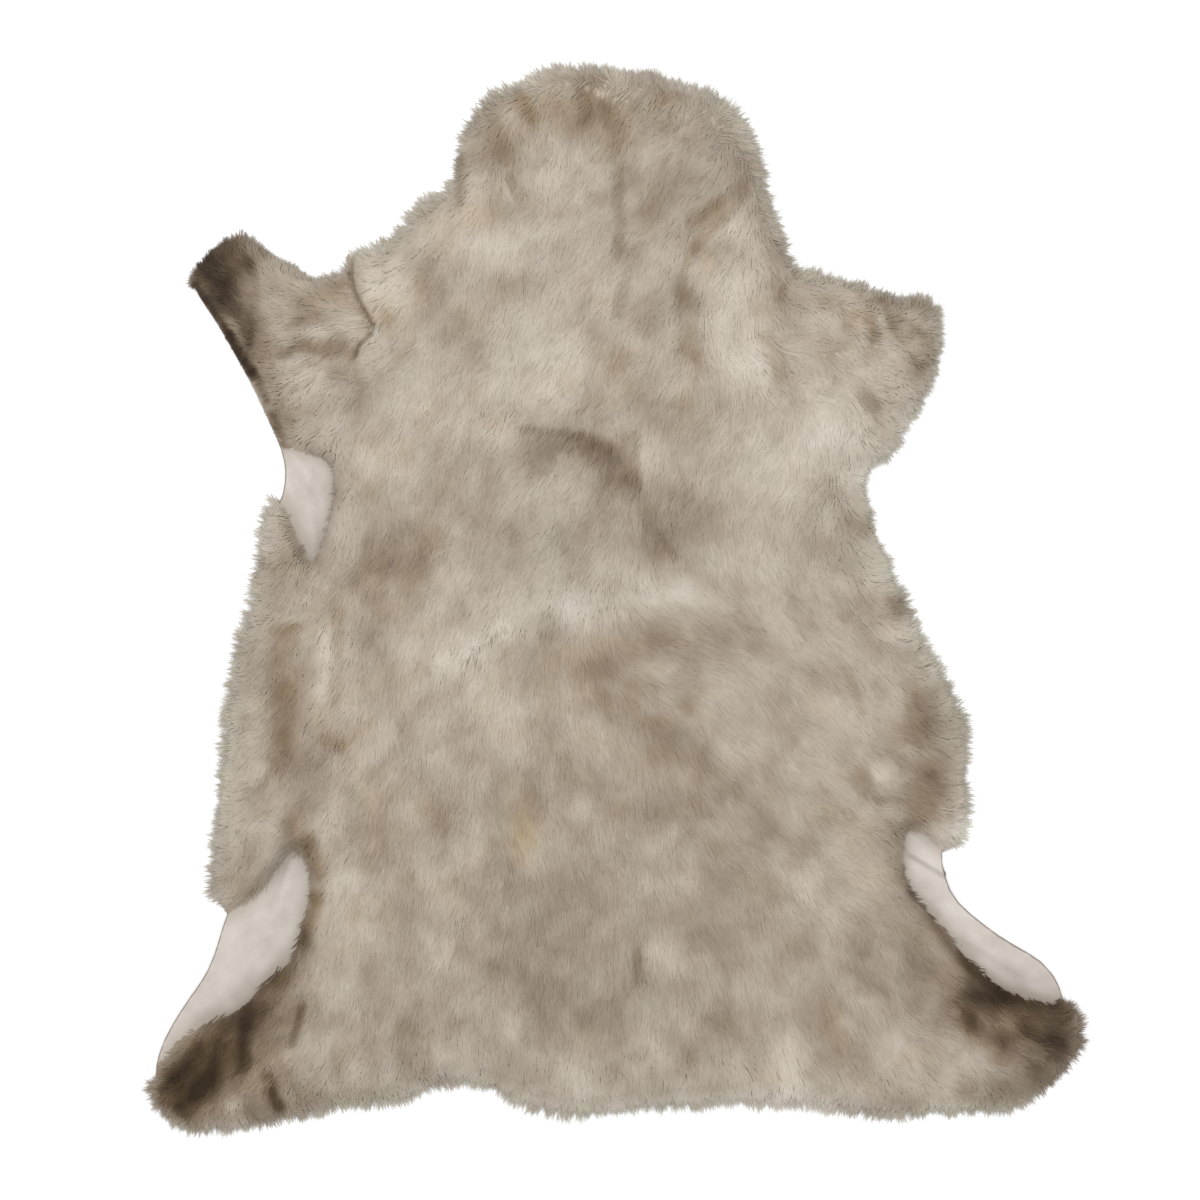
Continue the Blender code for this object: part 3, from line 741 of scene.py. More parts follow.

# The fold lines' dark is the painted shadow under the left foreleg's fold
FOLD_LINES = (
    Stroke("fold_line_high", -232, 297, -229, 283, 1.6, -0.14, 0.06, 0.8),
    Stroke("fold_line_upper", -229, 283, -225, 266, 1.8, -0.16, 0.06, 1),
    Stroke("fold_line_middle", -225, 266, -217, 250, 1.9, -0.18, 0.06, 1.1),
    Stroke("fold_line_hook", -217, 250, -209, 235, 2, -0.22, 0.06, 1.2),
    Stroke("fold_line_turn", -209, 235, -211, 227, 2, -0.24, 0.06, 1.2),
    Stroke("fold_line_under", -211, 227, -220, 218, 2, -0.22, 0.06, 1.2),
    Stroke("fold_line_end", -220, 218, -223, 208, 1.7, -0.14, 0.08, 0.8),
)
print("blots:", len(BLOTS), "strokes:", len(STROKES), "fold lines:", len(FOLD_LINES))

# %% Make soft noise
NOISE_SIZE = 128


def soft_noise(places, size, seed):
    """A smooth random value at each place, about -1 to 1, that changes over about that size."""
    lattice = np.random.default_rng(seed).uniform(-1, 1, (NOISE_SIZE, NOISE_SIZE))
    spot = places / size + NOISE_SIZE / 2
    cell = np.floor(spot).astype(int)
    u, v = np.moveaxis((spot - cell) ** 2 * (3 - 2 * (spot - cell)), -1, 0)
    i, j = cell[..., 0] % NOISE_SIZE, cell[..., 1] % NOISE_SIZE
    i2, j2 = (i + 1) % NOISE_SIZE, (j + 1) % NOISE_SIZE
    near = lattice[i, j] * (1 - u) + lattice[i2, j] * u
    far = lattice[i, j2] * (1 - u) + lattice[i2, j2] * u
    return near * (1 - v) + far * v


# %% Read the colour of the wool at a place
BASE_TONE = 0.486
BASE_WARMTH = 0.46
# How a blot or a stroke fades
PAINT_FALL = 0.7
PAINT_EDGE = 1.5
# Their edges wander, a stroke's less than a blot's
WANDER_SIZE = 9 * MM
WANDER_WAY = 2.5 * MM
WANDER_SEEDS = (31, 32)
STROKE_WANDER = 0.5
# Where wool counts as dark, and how much stronger its mottling is there
DARK_FROM = 0.06
DARK_BAND = 0.2
DARK_MOTTLE = 0.3
# What the rim adds, fading over these stretches of the way in: a greyer tint, and painted light that
# lifts the shade where the wool falls towards the floor
RIM_WARMTH = -0.38
RIM_WARMTH_BAND = (-6 * MM, 12 * MM)
RIM_PAINTED_LIGHT = 0.07
RIM_LIGHT_BAND = (-9 * MM, 5 * MM)

# Sizes in millimetres
Mottle = namedtuple("Mottle", "size tone warmth tone_seed warmth_seed")
MOTTLES = (
    Mottle(64, 0.040, 0.10, 10, 20),
    Mottle(30, 0.050, 0.12, 11, 21),
    Mottle(15, 0.045, 0.08, 12, 22),
    Mottle(8, 0.025, 0.05, 13, 23),
)
Paint = namedtuple("Paint", "tone warmth sink")


def start_and_run(stroke):
    """Where a stroke starts, and the way from there to its end, in metres."""
    start = np.array([stroke.across, stroke.along]) * MM
    return start, np.array([stroke.to_across, stroke.to_along]) * MM - start


def beside(stroke, places):
    """How far each place lies from a stroke's line, as a share of the stroke's width."""
    start, run = start_and_run(stroke)
    t = np.clip((places - start) @ run / (run @ run), 0, 1)
    return np.linalg.norm(places - start - t[:, None] * run, axis=1) / (stroke.width * MM)


def darkness(tone):
    """0 where the wool is as pale as on the back and 1 where it is as brown as on the legs."""
    return np.clip((BASE_TONE - DARK_FROM - tone) / DARK_BAND, 0, 1)


def line_share(stroke, places):
    """How strongly a stroke colours each place: 1 on its line, about half at its width and soon 0."""
    return np.exp(-PAINT_FALL * beside(stroke, places) ** (2 * PAINT_EDGE))


def painted(places):
    """The wool's tone and warmth at each place, with the painted shade of its folds and creases and the
    rim's painted light, and how deep it is parted there.
    """
    tone = np.full(len(places), BASE_TONE)
    warmth = np.full(len(places), BASE_WARMTH)
    sink, fold_shadow_tone, sharp_sink = np.zeros((3, len(places)))
    wander = np.stack([soft_noise(places, WANDER_SIZE, seed) for seed in WANDER_SEEDS], axis=1) * WANDER_WAY
    for blot in BLOTS:
        away = places + wander - np.array([blot.across, blot.along]) * MM
        turn = math.radians(blot.turn)
        along_x = away[:, 0] * math.cos(turn) + away[:, 1] * math.sin(turn)
        along_y = away[:, 1] * math.cos(turn) - away[:, 0] * math.sin(turn)
        round_about = (along_x / blot.half_across / MM) ** 2 + (along_y / blot.half_along / MM) ** 2
        share = np.exp(-PAINT_FALL * round_about ** PAINT_EDGE)
        tone += blot.tone * share
        warmth += blot.warmth * share
    for stroke in STROKES:
        share = line_share(stroke, places + STROKE_WANDER * wander)
        tone += stroke.tone * share
        warmth += stroke.warmth * share
        sink += stroke.sink * MM * share
    for fold in FOLD_LINES:
        share = line_share(fold, places)
        fold_shadow_tone = np.minimum(fold_shadow_tone, fold.tone * share)
        sharp_sink = np.maximum(sharp_sink, fold.sink * MM * share)
    # The fold lines' painted shadow, only the darkest of them where they meet
    tone += fold_shadow_tone
    sink += sharp_sink
    swing = 1 + DARK_MOTTLE * darkness(tone)
    for mottle in MOTTLES:
        tone += mottle.tone * swing * soft_noise(places, mottle.size * MM, mottle.tone_seed)
        warmth += mottle.warmth * soft_noise(places, mottle.size * MM, mottle.warmth_seed)
    way_in = read(depth, places)
    warmth += RIM_WARMTH * (1 - smooth_share(way_in, *RIM_WARMTH_BAND)) * (1 - darkness(tone))
    # Painted light: the rim's wool is lifted against the shade it falls into
    tone += RIM_PAINTED_LIGHT * (1 - smooth_share(way_in, *RIM_LIGHT_BAND))
    return Paint(tone, warmth, sink)


print("steps of mottling:", len(MOTTLES))

# %% [markdown]
# ## Dye for every piece
# Leather and wool need colour that follows these charts. The wool's material turns a tone and a warmth into
# a colour in a node group, so the undercoat and every hair use the same dye. The hairs carry their tone and
# warmth as UV places, so a whole fleece of hairs reads its colour from one small chart.

# %% Mix the wool's dye
TONE_STOPS = (
    (0.00, (0.034, 0.022, 0.015)), (0.20, (0.100, 0.070, 0.047)), (0.40, (0.265, 0.208, 0.155)),
    (0.60, (0.500, 0.437, 0.366)), (0.80, (0.740, 0.690, 0.615)), (1.00, (0.930, 0.900, 0.850)),
)
TINT_STOPS = (
    (0.00, (0.900, 0.945, 0.920)), (0.25, (0.940, 0.950, 0.955)), (0.50, (0.990, 0.995, 0.990)),
    (0.75, (0.990, 0.952, 0.868)), (1.00, (0.960, 0.900, 0.700)),
)


def place_nodes(tree, kinds):
    """New nodes of these kinds in a tree, in a row."""
    made = []
    for number, kind in enumerate(kinds):
        node = tree.nodes.new(kind)
        node.location = (number * 200, 0)
        made.append(node)
    return made


def link_all(tree, links):
    """Joins nodes, each link given as a node, its output, the next node and its input."""
    for source, output, target, socket in links:
        tree.links.new(source.outputs[output], target.inputs[socket])


def set_inputs(node, **values):
    """Sets a node's inputs by name, with _ for a space."""
    for name, value in values.items():
        node.inputs[name.replace("_", " ")].default_value = value


def set_ramp(ramp, stops):
    """Gives a colour ramp these stops."""
    while len(ramp.color_ramp.elements) < len(stops):
        ramp.color_ramp.elements.new(0.5)
    for element, (place, colour) in zip(ramp.color_ramp.elements, stops):
        element.position = place
        element.color = (*colour, 1)


def make_dye_group():
    """The node group that turns tone and warmth into the wool's colour."""
    group = bpy.data.node_groups.new("wool_dye", "ShaderNodeTree")
    group.interface.new_socket("Tone", in_out="INPUT", socket_type="NodeSocketFloat")
    group.interface.new_socket("Warmth", in_out="INPUT", socket_type="NodeSocketFloat")
    group.interface.new_socket("Colour", in_out="OUTPUT", socket_type="NodeSocketColor")
    kinds = (
        "NodeGroupInput", "ShaderNodeValToRGB", "ShaderNodeValToRGB", "ShaderNodeMix", "NodeGroupOutput",
    )
    start, depth_ramp, tint_ramp, mix, end = place_nodes(group, kinds)
    set_ramp(depth_ramp, TONE_STOPS)
    set_ramp(tint_ramp, TINT_STOPS)
    mix.data_type = "RGBA"
    mix.blend_type = "MULTIPLY"
    mix.inputs["Factor"].default_value = 1.0
    link_all(group, (
        (start, "Tone", depth_ramp, "Fac"),
        (start, "Warmth", tint_ramp, "Fac"),
        (depth_ramp, "Color", mix, "A"),
        (tint_ramp, "Color", mix, "B"),
        (mix, "Result", end, "Colour"),
    ))
    return group


dye_group = make_dye_group()
print("dye stops:", len(TONE_STOPS), "and", len(TINT_STOPS))

# %% Make the hair's material
BAKE_MAP = "OFBake"

hair_material, shader = new_material("wool_hair", roughness=0.62)
shader.inputs["Specular IOR Level"].default_value = 0.08
nodes = hair_material.node_tree
hair_map, parts, dye = place_nodes(nodes, ("ShaderNodeUVMap", "ShaderNodeSeparateXYZ", "ShaderNodeGroup"))
hair_map.uv_map = BAKE_MAP
dye.node_tree = dye_group
link_all(nodes, (
    (hair_map, "UV", parts, "Vector"),
    (parts, "X", dye, "Tone"),
    (parts, "Y", dye, "Warmth"),
    (dye, "Colour", shader, "Base Color"),
))
print("hairs' material:", hair_material.name)

# %% [markdown]
# ## The leather
# The hide is one sheet, cut to the outline. It starts as a grid over the whole skin, finer where the
# leather is bare. The faces outside are deleted and the ragged border is pulled onto the outline, as
# shears would trim it. Where it is bare the sheet gets faint waves and creases, because leather is never
# quite flat, and Solidify gives it its thickness. Its material is pale; towards the wool and under brown
# wool it turns browner, from stubble and the wool's painted shade; its creases get painted shade, and it
# is dark along its cut edge.

# %% Cut a sheet to a shape
GRID_STEP = 4 * MM


def cut_grid(name, keeps, step):
    """A level grid over the skin with only the faces whose middles pass the test keeps."""
    deselect_all()
    size = skin_high[:2] - skin_low[:2] + 4 * step
    middle = (skin_high[:2] + skin_low[:2]) / 2
    count = np.ceil(size / step).astype(int)
    bpy.ops.mesh.primitive_grid_add(x_subdivisions=int(count[0]), y_subdivisions=int(count[1]), size=1)
    piece = bpy.context.object
    piece.name = name
    piece.data.name = name
    piece.scale = (*(count * step), 1)
    piece.location = (*middle, 0)
    bpy.ops.object.transform_apply(location=True, scale=True)
    bpy.ops.object.mode_set(mode="EDIT")
    bpy.ops.mesh.select_all(action="DESELECT")
    bpy.ops.mesh.select_mode(type="FACE")
    mesh = bmesh.from_edit_mesh(piece.data)
    middles = np.array([face.calc_center_median()[:2] for face in mesh.faces])
    for face, kept in zip(mesh.faces, keeps(middles)):
        face.select = not kept
    bmesh.update_edit_mesh(piece.data)
    bpy.ops.mesh.delete(type="FACE")
    bpy.ops.object.mode_set(mode="OBJECT")
    return piece


print("a grid's step, mm:", GRID_STEP / MM)

# %% Move a sheet's points and finish it
def points_of(piece):
    """The piece's points as an array."""
    points = np.empty(len(piece.data.vertices) * 3)
    piece.data.vertices.foreach_get("co", points)
    return points.reshape(-1, 3)


def set_points(piece, points):
    """Moves the piece's points to these places."""
    piece.data.vertices.foreach_set("co", points.ravel())
    piece.data.update()


def border_numbers(piece):
    """The numbers of the points on the piece's open border."""
    mesh = bmesh.new()
    mesh.from_mesh(piece.data)
    numbers = [vert.index for vert in mesh.verts if vert.is_boundary]
    mesh.free()
    return np.array(numbers)


def pull_to_outline(piece, limit):
    """Moves the border's points that lie nearer than limit onto the outline."""
    points = points_of(piece)
    rim = border_numbers(piece)
    mark, gap = nearest_on(outline, points[rim, :2])
    near = gap < limit
    points[rim[near], :2] = outline[mark[near]]
    set_points(piece, points)


def keep_attribute(piece, name, values):
    """Stores a value for each point of the piece, for its material to read."""
    attribute = piece.data.attributes.new(name, "FLOAT", "POINT")
    attribute.data.foreach_set("value", values.astype(np.float32))


def finish_piece(piece, material):
    """Gives a piece its material and slot, and rides it on the skin's body."""
    piece.data.materials.clear()
    piece.data.materials.append(material)
    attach(piece, "root")


# %% Shape the hide
HIDE_THICKNESS = 1.8 * MM
HIDE_STEP = 8 * MM
HIDE_PULL = 1.2 * HIDE_STEP
BARE_CUTS = 3
BARE_MARGIN = 12 * MM
EDGE_SCALE = 20 * MM

hide = cut_grid("hide", lambda places: read(depth, places) > -HIDE_STEP, HIDE_STEP)
bpy.ops.object.mode_set(mode="EDIT")
mesh = bmesh.from_edit_mesh(hide.data)
middles = np.array([face.calc_center_median()[:2] for face in mesh.faces])
for face, near in zip(mesh.faces, read(bare_gap, middles) < BARE_MARGIN):
    face.select = bool(near)
bmesh.update_edit_mesh(hide.data)
bpy.ops.mesh.subdivide(number_cuts=BARE_CUTS)
mesh = bmesh.from_edit_mesh(hide.data)
bpy.ops.mesh.select_all(action="DESELECT")
middles = np.array([face.calc_center_median()[:2] for face in mesh.faces])
for face, outside in zip(mesh.faces, read(depth, middles) < 0):
    face.select = bool(outside)
bmesh.update_edit_mesh(hide.data)
bpy.ops.mesh.delete(type="FACE")
bpy.ops.object.mode_set(mode="OBJECT")
pull_to_outline(hide, HIDE_PULL)
print("hide's points on its edge:", len(border_numbers(hide)))

# %% Crease the bare leather
LEATHER_BAND = (-7 * MM, 1 * MM)
USUAL_RISE = 0.5
EDGE_LIFT = 0.7
EDGE_LIFT_WIDTH = 8 * MM
STUBBLE_SHADE_BAND = (-16 * MM, 4 * MM)
BROWN_FROM = 0.03
BROWN_SHARE = 0.9
HIDE_SMOOTH = math.radians(40)

# Sizes, places, widths and rises in millimetres
Wave = namedtuple("Wave", "size rise seed")
WAVES = (Wave(32, 0.5, 41), Wave(14, 0.3, 42))
# A crease's dark is painted shade: in its fold line, and for the broad shades and the streaks the shade of
# the wool beside and over the leather
Crease = namedtuple("Crease", "place across along to_across to_along width dark rise")
LEATHER_CREASES = (
    Crease("thigh_right_fold", 252, -217, 284, -236, 3, 0.0, 2.2),
    Crease("thigh_right_fold_line", 254, -222, 285, -241, 1.6, 0.30, -1.2),
    Crease("thigh_right_pucker", 300, -290, 352, -320, 5, 0.0, 1.2),
    Crease("thigh_right_pucker_line", 298, -296, 345, -326, 3, 0.10, -0.4),
    Crease("thigh_right_top", 262, -206, 280, -212, 4, 0.06, 0.8),
    Crease("thigh_left_fold", -280, -226, -292, -270, 5, 0.0, 1.8),
    Crease("thigh_left_fold_line", -286, -228, -299, -268, 3, 0.07, -0.4),
    Crease("thigh_left_fold_low", -296, -268, -330, -322, 9, 0.0, 1.6),
    Crease("leather_streak", -300, -300, -328, -344, 4, 0.10, 0.0),
    Crease("thigh_left_streak_low", -320, -330, -362, -366, 5, 0.12, 0.0),
    Crease("thigh_left_wave", -322, -280, -348, -318, 7, 0.0, 1.4),
    Crease("elbow_fold", -280, 126, -256, 96, 4, 0.0, 2.0),
    Crease("elbow_fold_line", -284, 120, -262, 90, 2, 0.10, -0.6),
    Crease("elbow_fold_low", -268, 98, -260, 50, 4, 0.04, 1.6),
    Crease("elbow_wrinkle", -282, 108, -270, 78, 3, 0.05, 1.0),
    Crease("elbow_streak", -292, 112, -276, 62, 2.4, 0.09, 0.0),
    Crease("elbow_streak_far", -262, 112, -258, 74, 2.4, 0.08, 0.0),
    Crease("elbow_shade", -275, 120, -262, 50, 30, 0.08, 0.0),
    Crease("thigh_right_shade", 330, -300, 374, -336, 16, 0.10, 0.0),
    Crease("thigh_left_shade", -290, -240, -345, -345, 45, 0.09, 0.0),
)


def leather_shape(places):
    """How high the leather's upper side stands at each place, and how much painted crease shade it has
    there.
    """
    bare_here = 1 - smooth_share(read(bare_gap, places), *LEATHER_BAND)
    rise = USUAL_RISE + sum(wave.rise * soft_noise(places, wave.size * MM, wave.seed) for wave in WAVES)
    rise += EDGE_LIFT * (1 - smooth_share(read(depth, places), 0, EDGE_LIFT_WIDTH))
    crease_shade = np.zeros(len(places))
    for crease in LEATHER_CREASES:
        share = np.exp(-PAINT_FALL * beside(crease, places) ** 2)
        rise += crease.rise * share
        crease_shade += crease.dark * share
    return HIDE_THICKNESS + bare_here * np.maximum(rise, 0) * MM, crease_shade


points = points_of(hide)
flat = points[:, :2]
points[:, 2], crease_shade = leather_shape(flat)
set_points(hide, points)
# The leather's dark: browner under brown wool, for stubble and the wool's painted shade over it, and the
# creases' painted shade
brown = np.clip(BASE_TONE - BROWN_FROM - painted(flat).tone, 0, 1)
keep_attribute(hide, "way_in", np.clip(read(depth, flat) / EDGE_SCALE, 0, 1))
# Browner towards the wool: its stubble, and the painted shade of the wool beside it
keep_attribute(hide, "stubble_and_shade", smooth_share(read(bare_gap, flat), *STUBBLE_SHADE_BAND))
keep_attribute(hide, "dark", BROWN_SHARE * brown + crease_shade)
solidify = hide.modifiers.new("thickness", "SOLIDIFY")
solidify.thickness = HIDE_THICKNESS
solidify.offset = -1
deselect_all()
bpy.context.view_layer.objects.active = hide
hide.select_set(True)
bpy.ops.object.modifier_apply(modifier="thickness")
bpy.ops.object.shade_smooth_by_angle(angle=HIDE_SMOOTH)
print("hide faces:", len(hide.data.polygons), "lowest, mm:", round(points_of(hide)[:, 2].min() / MM, 2))

# %% Tan the leather
LEATHER_PALE = (0.610, 0.562, 0.508, 1)
LEATHER_PINK = (0.455, 0.398, 0.352, 1)
# Towards the wool: stubble, and the wool's painted shade
LEATHER_STUBBLE_SHADE = (0.400, 0.350, 0.290, 1)
LEATHER_CUT = (0.130, 0.090, 0.062, 1)
# Browner under brown wool, and the creases' painted shade
LEATHER_DARK = (0.150, 0.105, 0.075, 1)
CUT_BAND = (0.2 * MM / EDGE_SCALE, 1.5 * MM / EDGE_SCALE)
MOTTLE_BAND = (0.22, 0.78)

leather_material, shader = new_material("tanned_leather", roughness=0.7)
nodes = leather_material.node_tree
kinds = (
    "ShaderNodeTexCoord", "ShaderNodeTexNoise", "ShaderNodeMix", "ShaderNodeAttribute", "ShaderNodeMix",
    "ShaderNodeAttribute", "ShaderNodeMix", "ShaderNodeAttribute", "ShaderNodeMix", "ShaderNodeTexNoise",
    "ShaderNodeBump", "ShaderNodeMapRange", "ShaderNodeMapRange",
)
(place, mottle, pink_mix, stubble_shade_value, stubble_shade_mix, dark_value, dark_mix, edge_value, edge_mix, grain,
 bump, edge_band, mottle_swing) = place_nodes(nodes, kinds)
set_inputs(mottle, Scale=46, Detail=9, Roughness=0.62)
set_inputs(grain, Scale=420, Detail=4)
set_inputs(bump, Strength=0.3, Distance=0.5 * MM)
set_inputs(edge_band, From_Min=CUT_BAND[0], From_Max=CUT_BAND[1], To_Min=1, To_Max=0)
set_inputs(mottle_swing, From_Min=MOTTLE_BAND[0], From_Max=MOTTLE_BAND[1], To_Min=0, To_Max=1)
mixes = {
    pink_mix: LEATHER_PINK, stubble_shade_mix: LEATHER_STUBBLE_SHADE, dark_mix: LEATHER_DARK, edge_mix: LEATHER_CUT,
}
for mix, colour in mixes.items():
    mix.data_type = "RGBA"
    mix.inputs["B"].default_value = colour
pink_mix.inputs["A"].default_value = LEATHER_PALE
stubble_shade_value.attribute_name = "stubble_and_shade"
dark_value.attribute_name = "dark"
edge_value.attribute_name = "way_in"
link_all(nodes, (
    (place, "Object", mottle, "Vector"),
    (place, "Object", grain, "Vector"),
    (mottle, "Fac", mottle_swing, "Value"),
    (mottle_swing, "Result", pink_mix, "Factor"),
    (pink_mix, "Result", stubble_shade_mix, "A"),
    (stubble_shade_value, "Fac", stubble_shade_mix, "Factor"),
    (stubble_shade_mix, "Result", dark_mix, "A"),
    (dark_value, "Fac", dark_mix, "Factor"),
    (dark_mix, "Result", edge_mix, "A"),
    (edge_value, "Fac", edge_band, "Value"),
    (edge_band, "Result", edge_mix, "Factor"),
    (edge_mix, "Result", shader, "Base Color"),
    (grain, "Fac", bump, "Height"),
    (bump, "Normal", shader, "Normal"),
))
finish_piece(hide, leather_material)
print("leather's nodes:", len(nodes.nodes))

# %% [markdown]
# ## The undercoat
# Under the long hairs a fleece is filled with short dense wool. One lumpy body stands for it, low enough
# that the hairs hide its surface and high enough that no gap shows leather. It is a grid again, cut where
# there is wool and raised to just under the hairs, with its border drawn down into the leather. How high
# the wool's surface stands is worked out first, for the undercoat and the hairs alike.

# %% Find the wool's surface
LEAST_WOOL = 3 * MM
EDGE_LEFT = 0.07
EDGE_FULL = 9 * MM

# Sizes in millimetres
Swell = namedtuple("Swell", "size share seed")
SWELLS = (Swell(24, 0.035, 45), Swell(10, 0.012, 46))


def wool_top(places, sink):
    """How high the wool's surface stands at each place, parted that deep, and thin where it is bare."""
    swell = 1 + sum(row.share * soft_noise(places, row.size * MM, row.seed) for row in SWELLS)
    return np.maximum(read(height, places) * swell - sink, LEAST_WOOL) * read(fullness, places)


def edge_fall(places, start):
    """The share of its height that the wool has at each place: little at start, all of it well inside."""
    return EDGE_LEFT + (1 - EDGE_LEFT) * smooth_share(read(depth, places), start, EDGE_FULL)


print("swells of the wool, mm wide:", [row.size for row in SWELLS])

# %% Raise the undercoat
UNDERCOAT_CUT = -0.3 * GRID_STEP
UNDERCOAT_BARE_CUT = -0.5 * GRID_STEP
UNDERCOAT_PULL = 1.5 * GRID_STEP
UNDERCOAT_DEPTH = 0.4 * MM
# Paler than the hairs, as dense underwool is, and painted lighter to lift the shade in the gaps between
# hairs
UNDERCOAT_PALENESS_AND_LIGHT = 0.05
UNDERCOAT_WARMTH = 0.05
UNDERCOAT_FALL = 11 * MM
UNDERCOAT_LEAST = 1.2 * MM
# The undercoat stays just under the lowest wool at these places round each point, in millimetres
PROBES = ((0, 0), (4, 0), (-4, 0), (0, 4), (0, -4))

undercoat = cut_grid(
    "undercoat",
    lambda places: (read(depth, places) > UNDERCOAT_CUT) & (read(bare_gap, places) > UNDERCOAT_BARE_CUT),
    GRID_STEP,
)
pull_to_outline(undercoat, UNDERCOAT_PULL)
points = points_of(undercoat)
flat = points[:, :2]
paint = painted(flat)
around = [flat + np.array(probe) * MM for probe in PROBES]
rise = np.min([wool_top(places, painted(places).sink) for places in around], axis=0) - UNDERCOAT_DEPTH
points[:, 2] = np.maximum(rise * edge_fall(flat, -UNDERCOAT_FALL), UNDERCOAT_LEAST)
set_points(undercoat, points)
keep_attribute(undercoat, "tone", paint.tone + UNDERCOAT_PALENESS_AND_LIGHT)
keep_attribute(undercoat, "warmth", paint.warmth + UNDERCOAT_WARMTH)
print("undercoat, mm high:", round(float(points[:, 2].max()) / MM, 1))

# %% Close it from below
UNDERCOAT_FOOT = 1.0 * MM
UNDERCOAT_SMOOTH = math.radians(60)

deselect_all()
undercoat.select_set(True)
bpy.context.view_layer.objects.active = undercoat
bpy.ops.object.mode_set(mode="EDIT")
bpy.ops.mesh.select_all(action="DESELECT")
bpy.ops.mesh.select_mode(type="EDGE")
bpy.ops.mesh.select_non_manifold()
bpy.ops.mesh.extrude_region_move()
mesh = bmesh.from_edit_mesh(undercoat.data)
for vert in mesh.verts:
    if vert.select:
        vert.co.z = UNDERCOAT_FOOT
bmesh.update_edit_mesh(undercoat.data)
bpy.ops.mesh.fill()
bpy.ops.mesh.select_all(action="SELECT")
bpy.ops.mesh.normals_make_consistent(inside=False)
bpy.ops.object.mode_set(mode="OBJECT")
bpy.ops.object.shade_smooth_by_angle(angle=UNDERCOAT_SMOOTH)
print("undercoat faces:", len(undercoat.data.polygons))

# %% Dye the undercoat
undercoat_material, shader = new_material("wool_undercoat", roughness=0.85)
nodes = undercoat_material.node_tree
kinds = (
    "ShaderNodeTexCoord", "ShaderNodeTexNoise", "ShaderNodeAttribute", "ShaderNodeAttribute",
    "ShaderNodeMath", "ShaderNodeGroup", "ShaderNodeBump",
)
place, fuzz, tone_value, warmth_value, swing, dye, bump = place_nodes(nodes, kinds)
set_inputs(fuzz, Scale=520, Detail=3)
set_inputs(bump, Strength=0.3, Distance=1.0 * MM)
tone_value.attribute_name = "tone"
warmth_value.attribute_name = "warmth"
swing.operation = "MULTIPLY_ADD"
swing.inputs[1].default_value = 0.03
dye.node_tree = dye_group
link_all(nodes, (
    (place, "Object", fuzz, "Vector"),
    (fuzz, "Fac", swing, 0),
    (tone_value, "Fac", swing, 2),
    (swing, "Value", dye, "Tone"),
    (warmth_value, "Fac", dye, "Warmth"),
    (dye, "Colour", shader, "Base Color"),
    (fuzz, "Fac", bump, "Height"),
    (bump, "Normal", shader, "Normal"),
))
finish_piece(undercoat, undercoat_material)
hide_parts("lambskin")
print("undercoat's nodes:", len(nodes.nodes))

# %% [markdown]
# ## The hairs
# A hair starts in the undercoat, rises to the fleece's surface, lies along it in the lie of the wool and
# dips a little at its tip. Wool grows in tufts, small ones within big ones. A tuft's random values turn,
# lengthen, bend and dye all its hairs alike, and the hairs draw together at their tips, which makes wool
# look combed and not like grass. Near the edge more and more hairs point outwards instead, as the fringe.
# Each hair is a ribbon that narrows to a point, with a little tone and warmth of its own.

# %% Group the wool into tufts
Tufts = namedtuple("Tufts", "size seed")
BIG_TUFTS = Tufts(24 * MM, 51)
SMALL_TUFTS = Tufts(8.5 * MM, 52)
RIM_TUFTS = Tufts(7 * MM, 53)
TUFT_MARGIN = 100 * MM
TUFT_JITTER = (0.1, 0.9)


def tuft_of(places, tufts):
    """For each place the centre of its tuft, and four values from 0 to 1 that the tuft has at random."""
    rng = np.random.default_rng(tufts.seed)
    low = skin_low[:2] - TUFT_MARGIN
    count = np.ceil((skin_high[:2] + TUFT_MARGIN - low) / tufts.size).astype(int)
    jitter = rng.uniform(*TUFT_JITTER, (*count, 2))
    own = rng.uniform(0, 1, (*count, 4))
    cell = np.floor((places - low) / tufts.size).astype(int)
    best = np.full(len(places), FAR)
    centre = np.zeros_like(places)
    values = np.zeros((len(places), 4))
    for di in (-1, 0, 1):
        for dj in (-1, 0, 1):
            at = np.clip(cell + (di, dj), 0, count - 1)
            spot = low + (at + jitter[at[:, 0], at[:, 1]]) * tufts.size
            gap = np.linalg.norm(places - spot, axis=1)
            nearer = gap < best
            best[nearer] = gap[nearer]
            centre[nearer] = spot[nearer]
            values[nearer] = own[at[nearer, 0], at[nearer, 1]]
    return centre, values


print("tufts, mm wide:", BIG_TUFTS.size / MM, SMALL_TUFTS.size / MM, "and", RIM_TUFTS.size / MM)

# %% Choose each hair's way
# Near the edge the lie sweeps outwards
SWEEP_DEPTH = 30 * MM
SWEEP_MOST = math.radians(62)
# How far the tufts turn it where it is at unrest
BIG_STIR = 0.8
SMALL_STIR = 0.5
# The fringe's hairs point outwards, and a tuft's hairs tend to join it together
FRINGE_START = -2 * MM
FRINGE_LEAST = 2 * MM
FRINGE_LAY = 0.45
FRINGE_STIR = 0.6
FRINGE_SPREAD = 0.16
TUFT_CHANCE = 0.6
AGAINST_DEPTH = 34 * MM

# Length is a share of the lie's own, and pull is how far a tuft's tips draw together. The fringe starts
# fringe_depth inside the edge, and lowest is the least share of its height that a hair keeps there
Growth = namedtuple("Growth", "length pull tufts fringe_depth lowest")


def turned(way, angle):
    """Level directions turned by an angle each."""
    c, s = np.cos(angle), np.sin(angle)
    return np.stack([way[:, 0] * c - way[:, 1] * s, way[:, 0] * s + way[:, 1] * c], axis=1)


def crossed(a, b):
    """The level cross product of two sets of directions."""
    return a[..., 0] * b[..., 1] - a[..., 1] * b[..., 0]


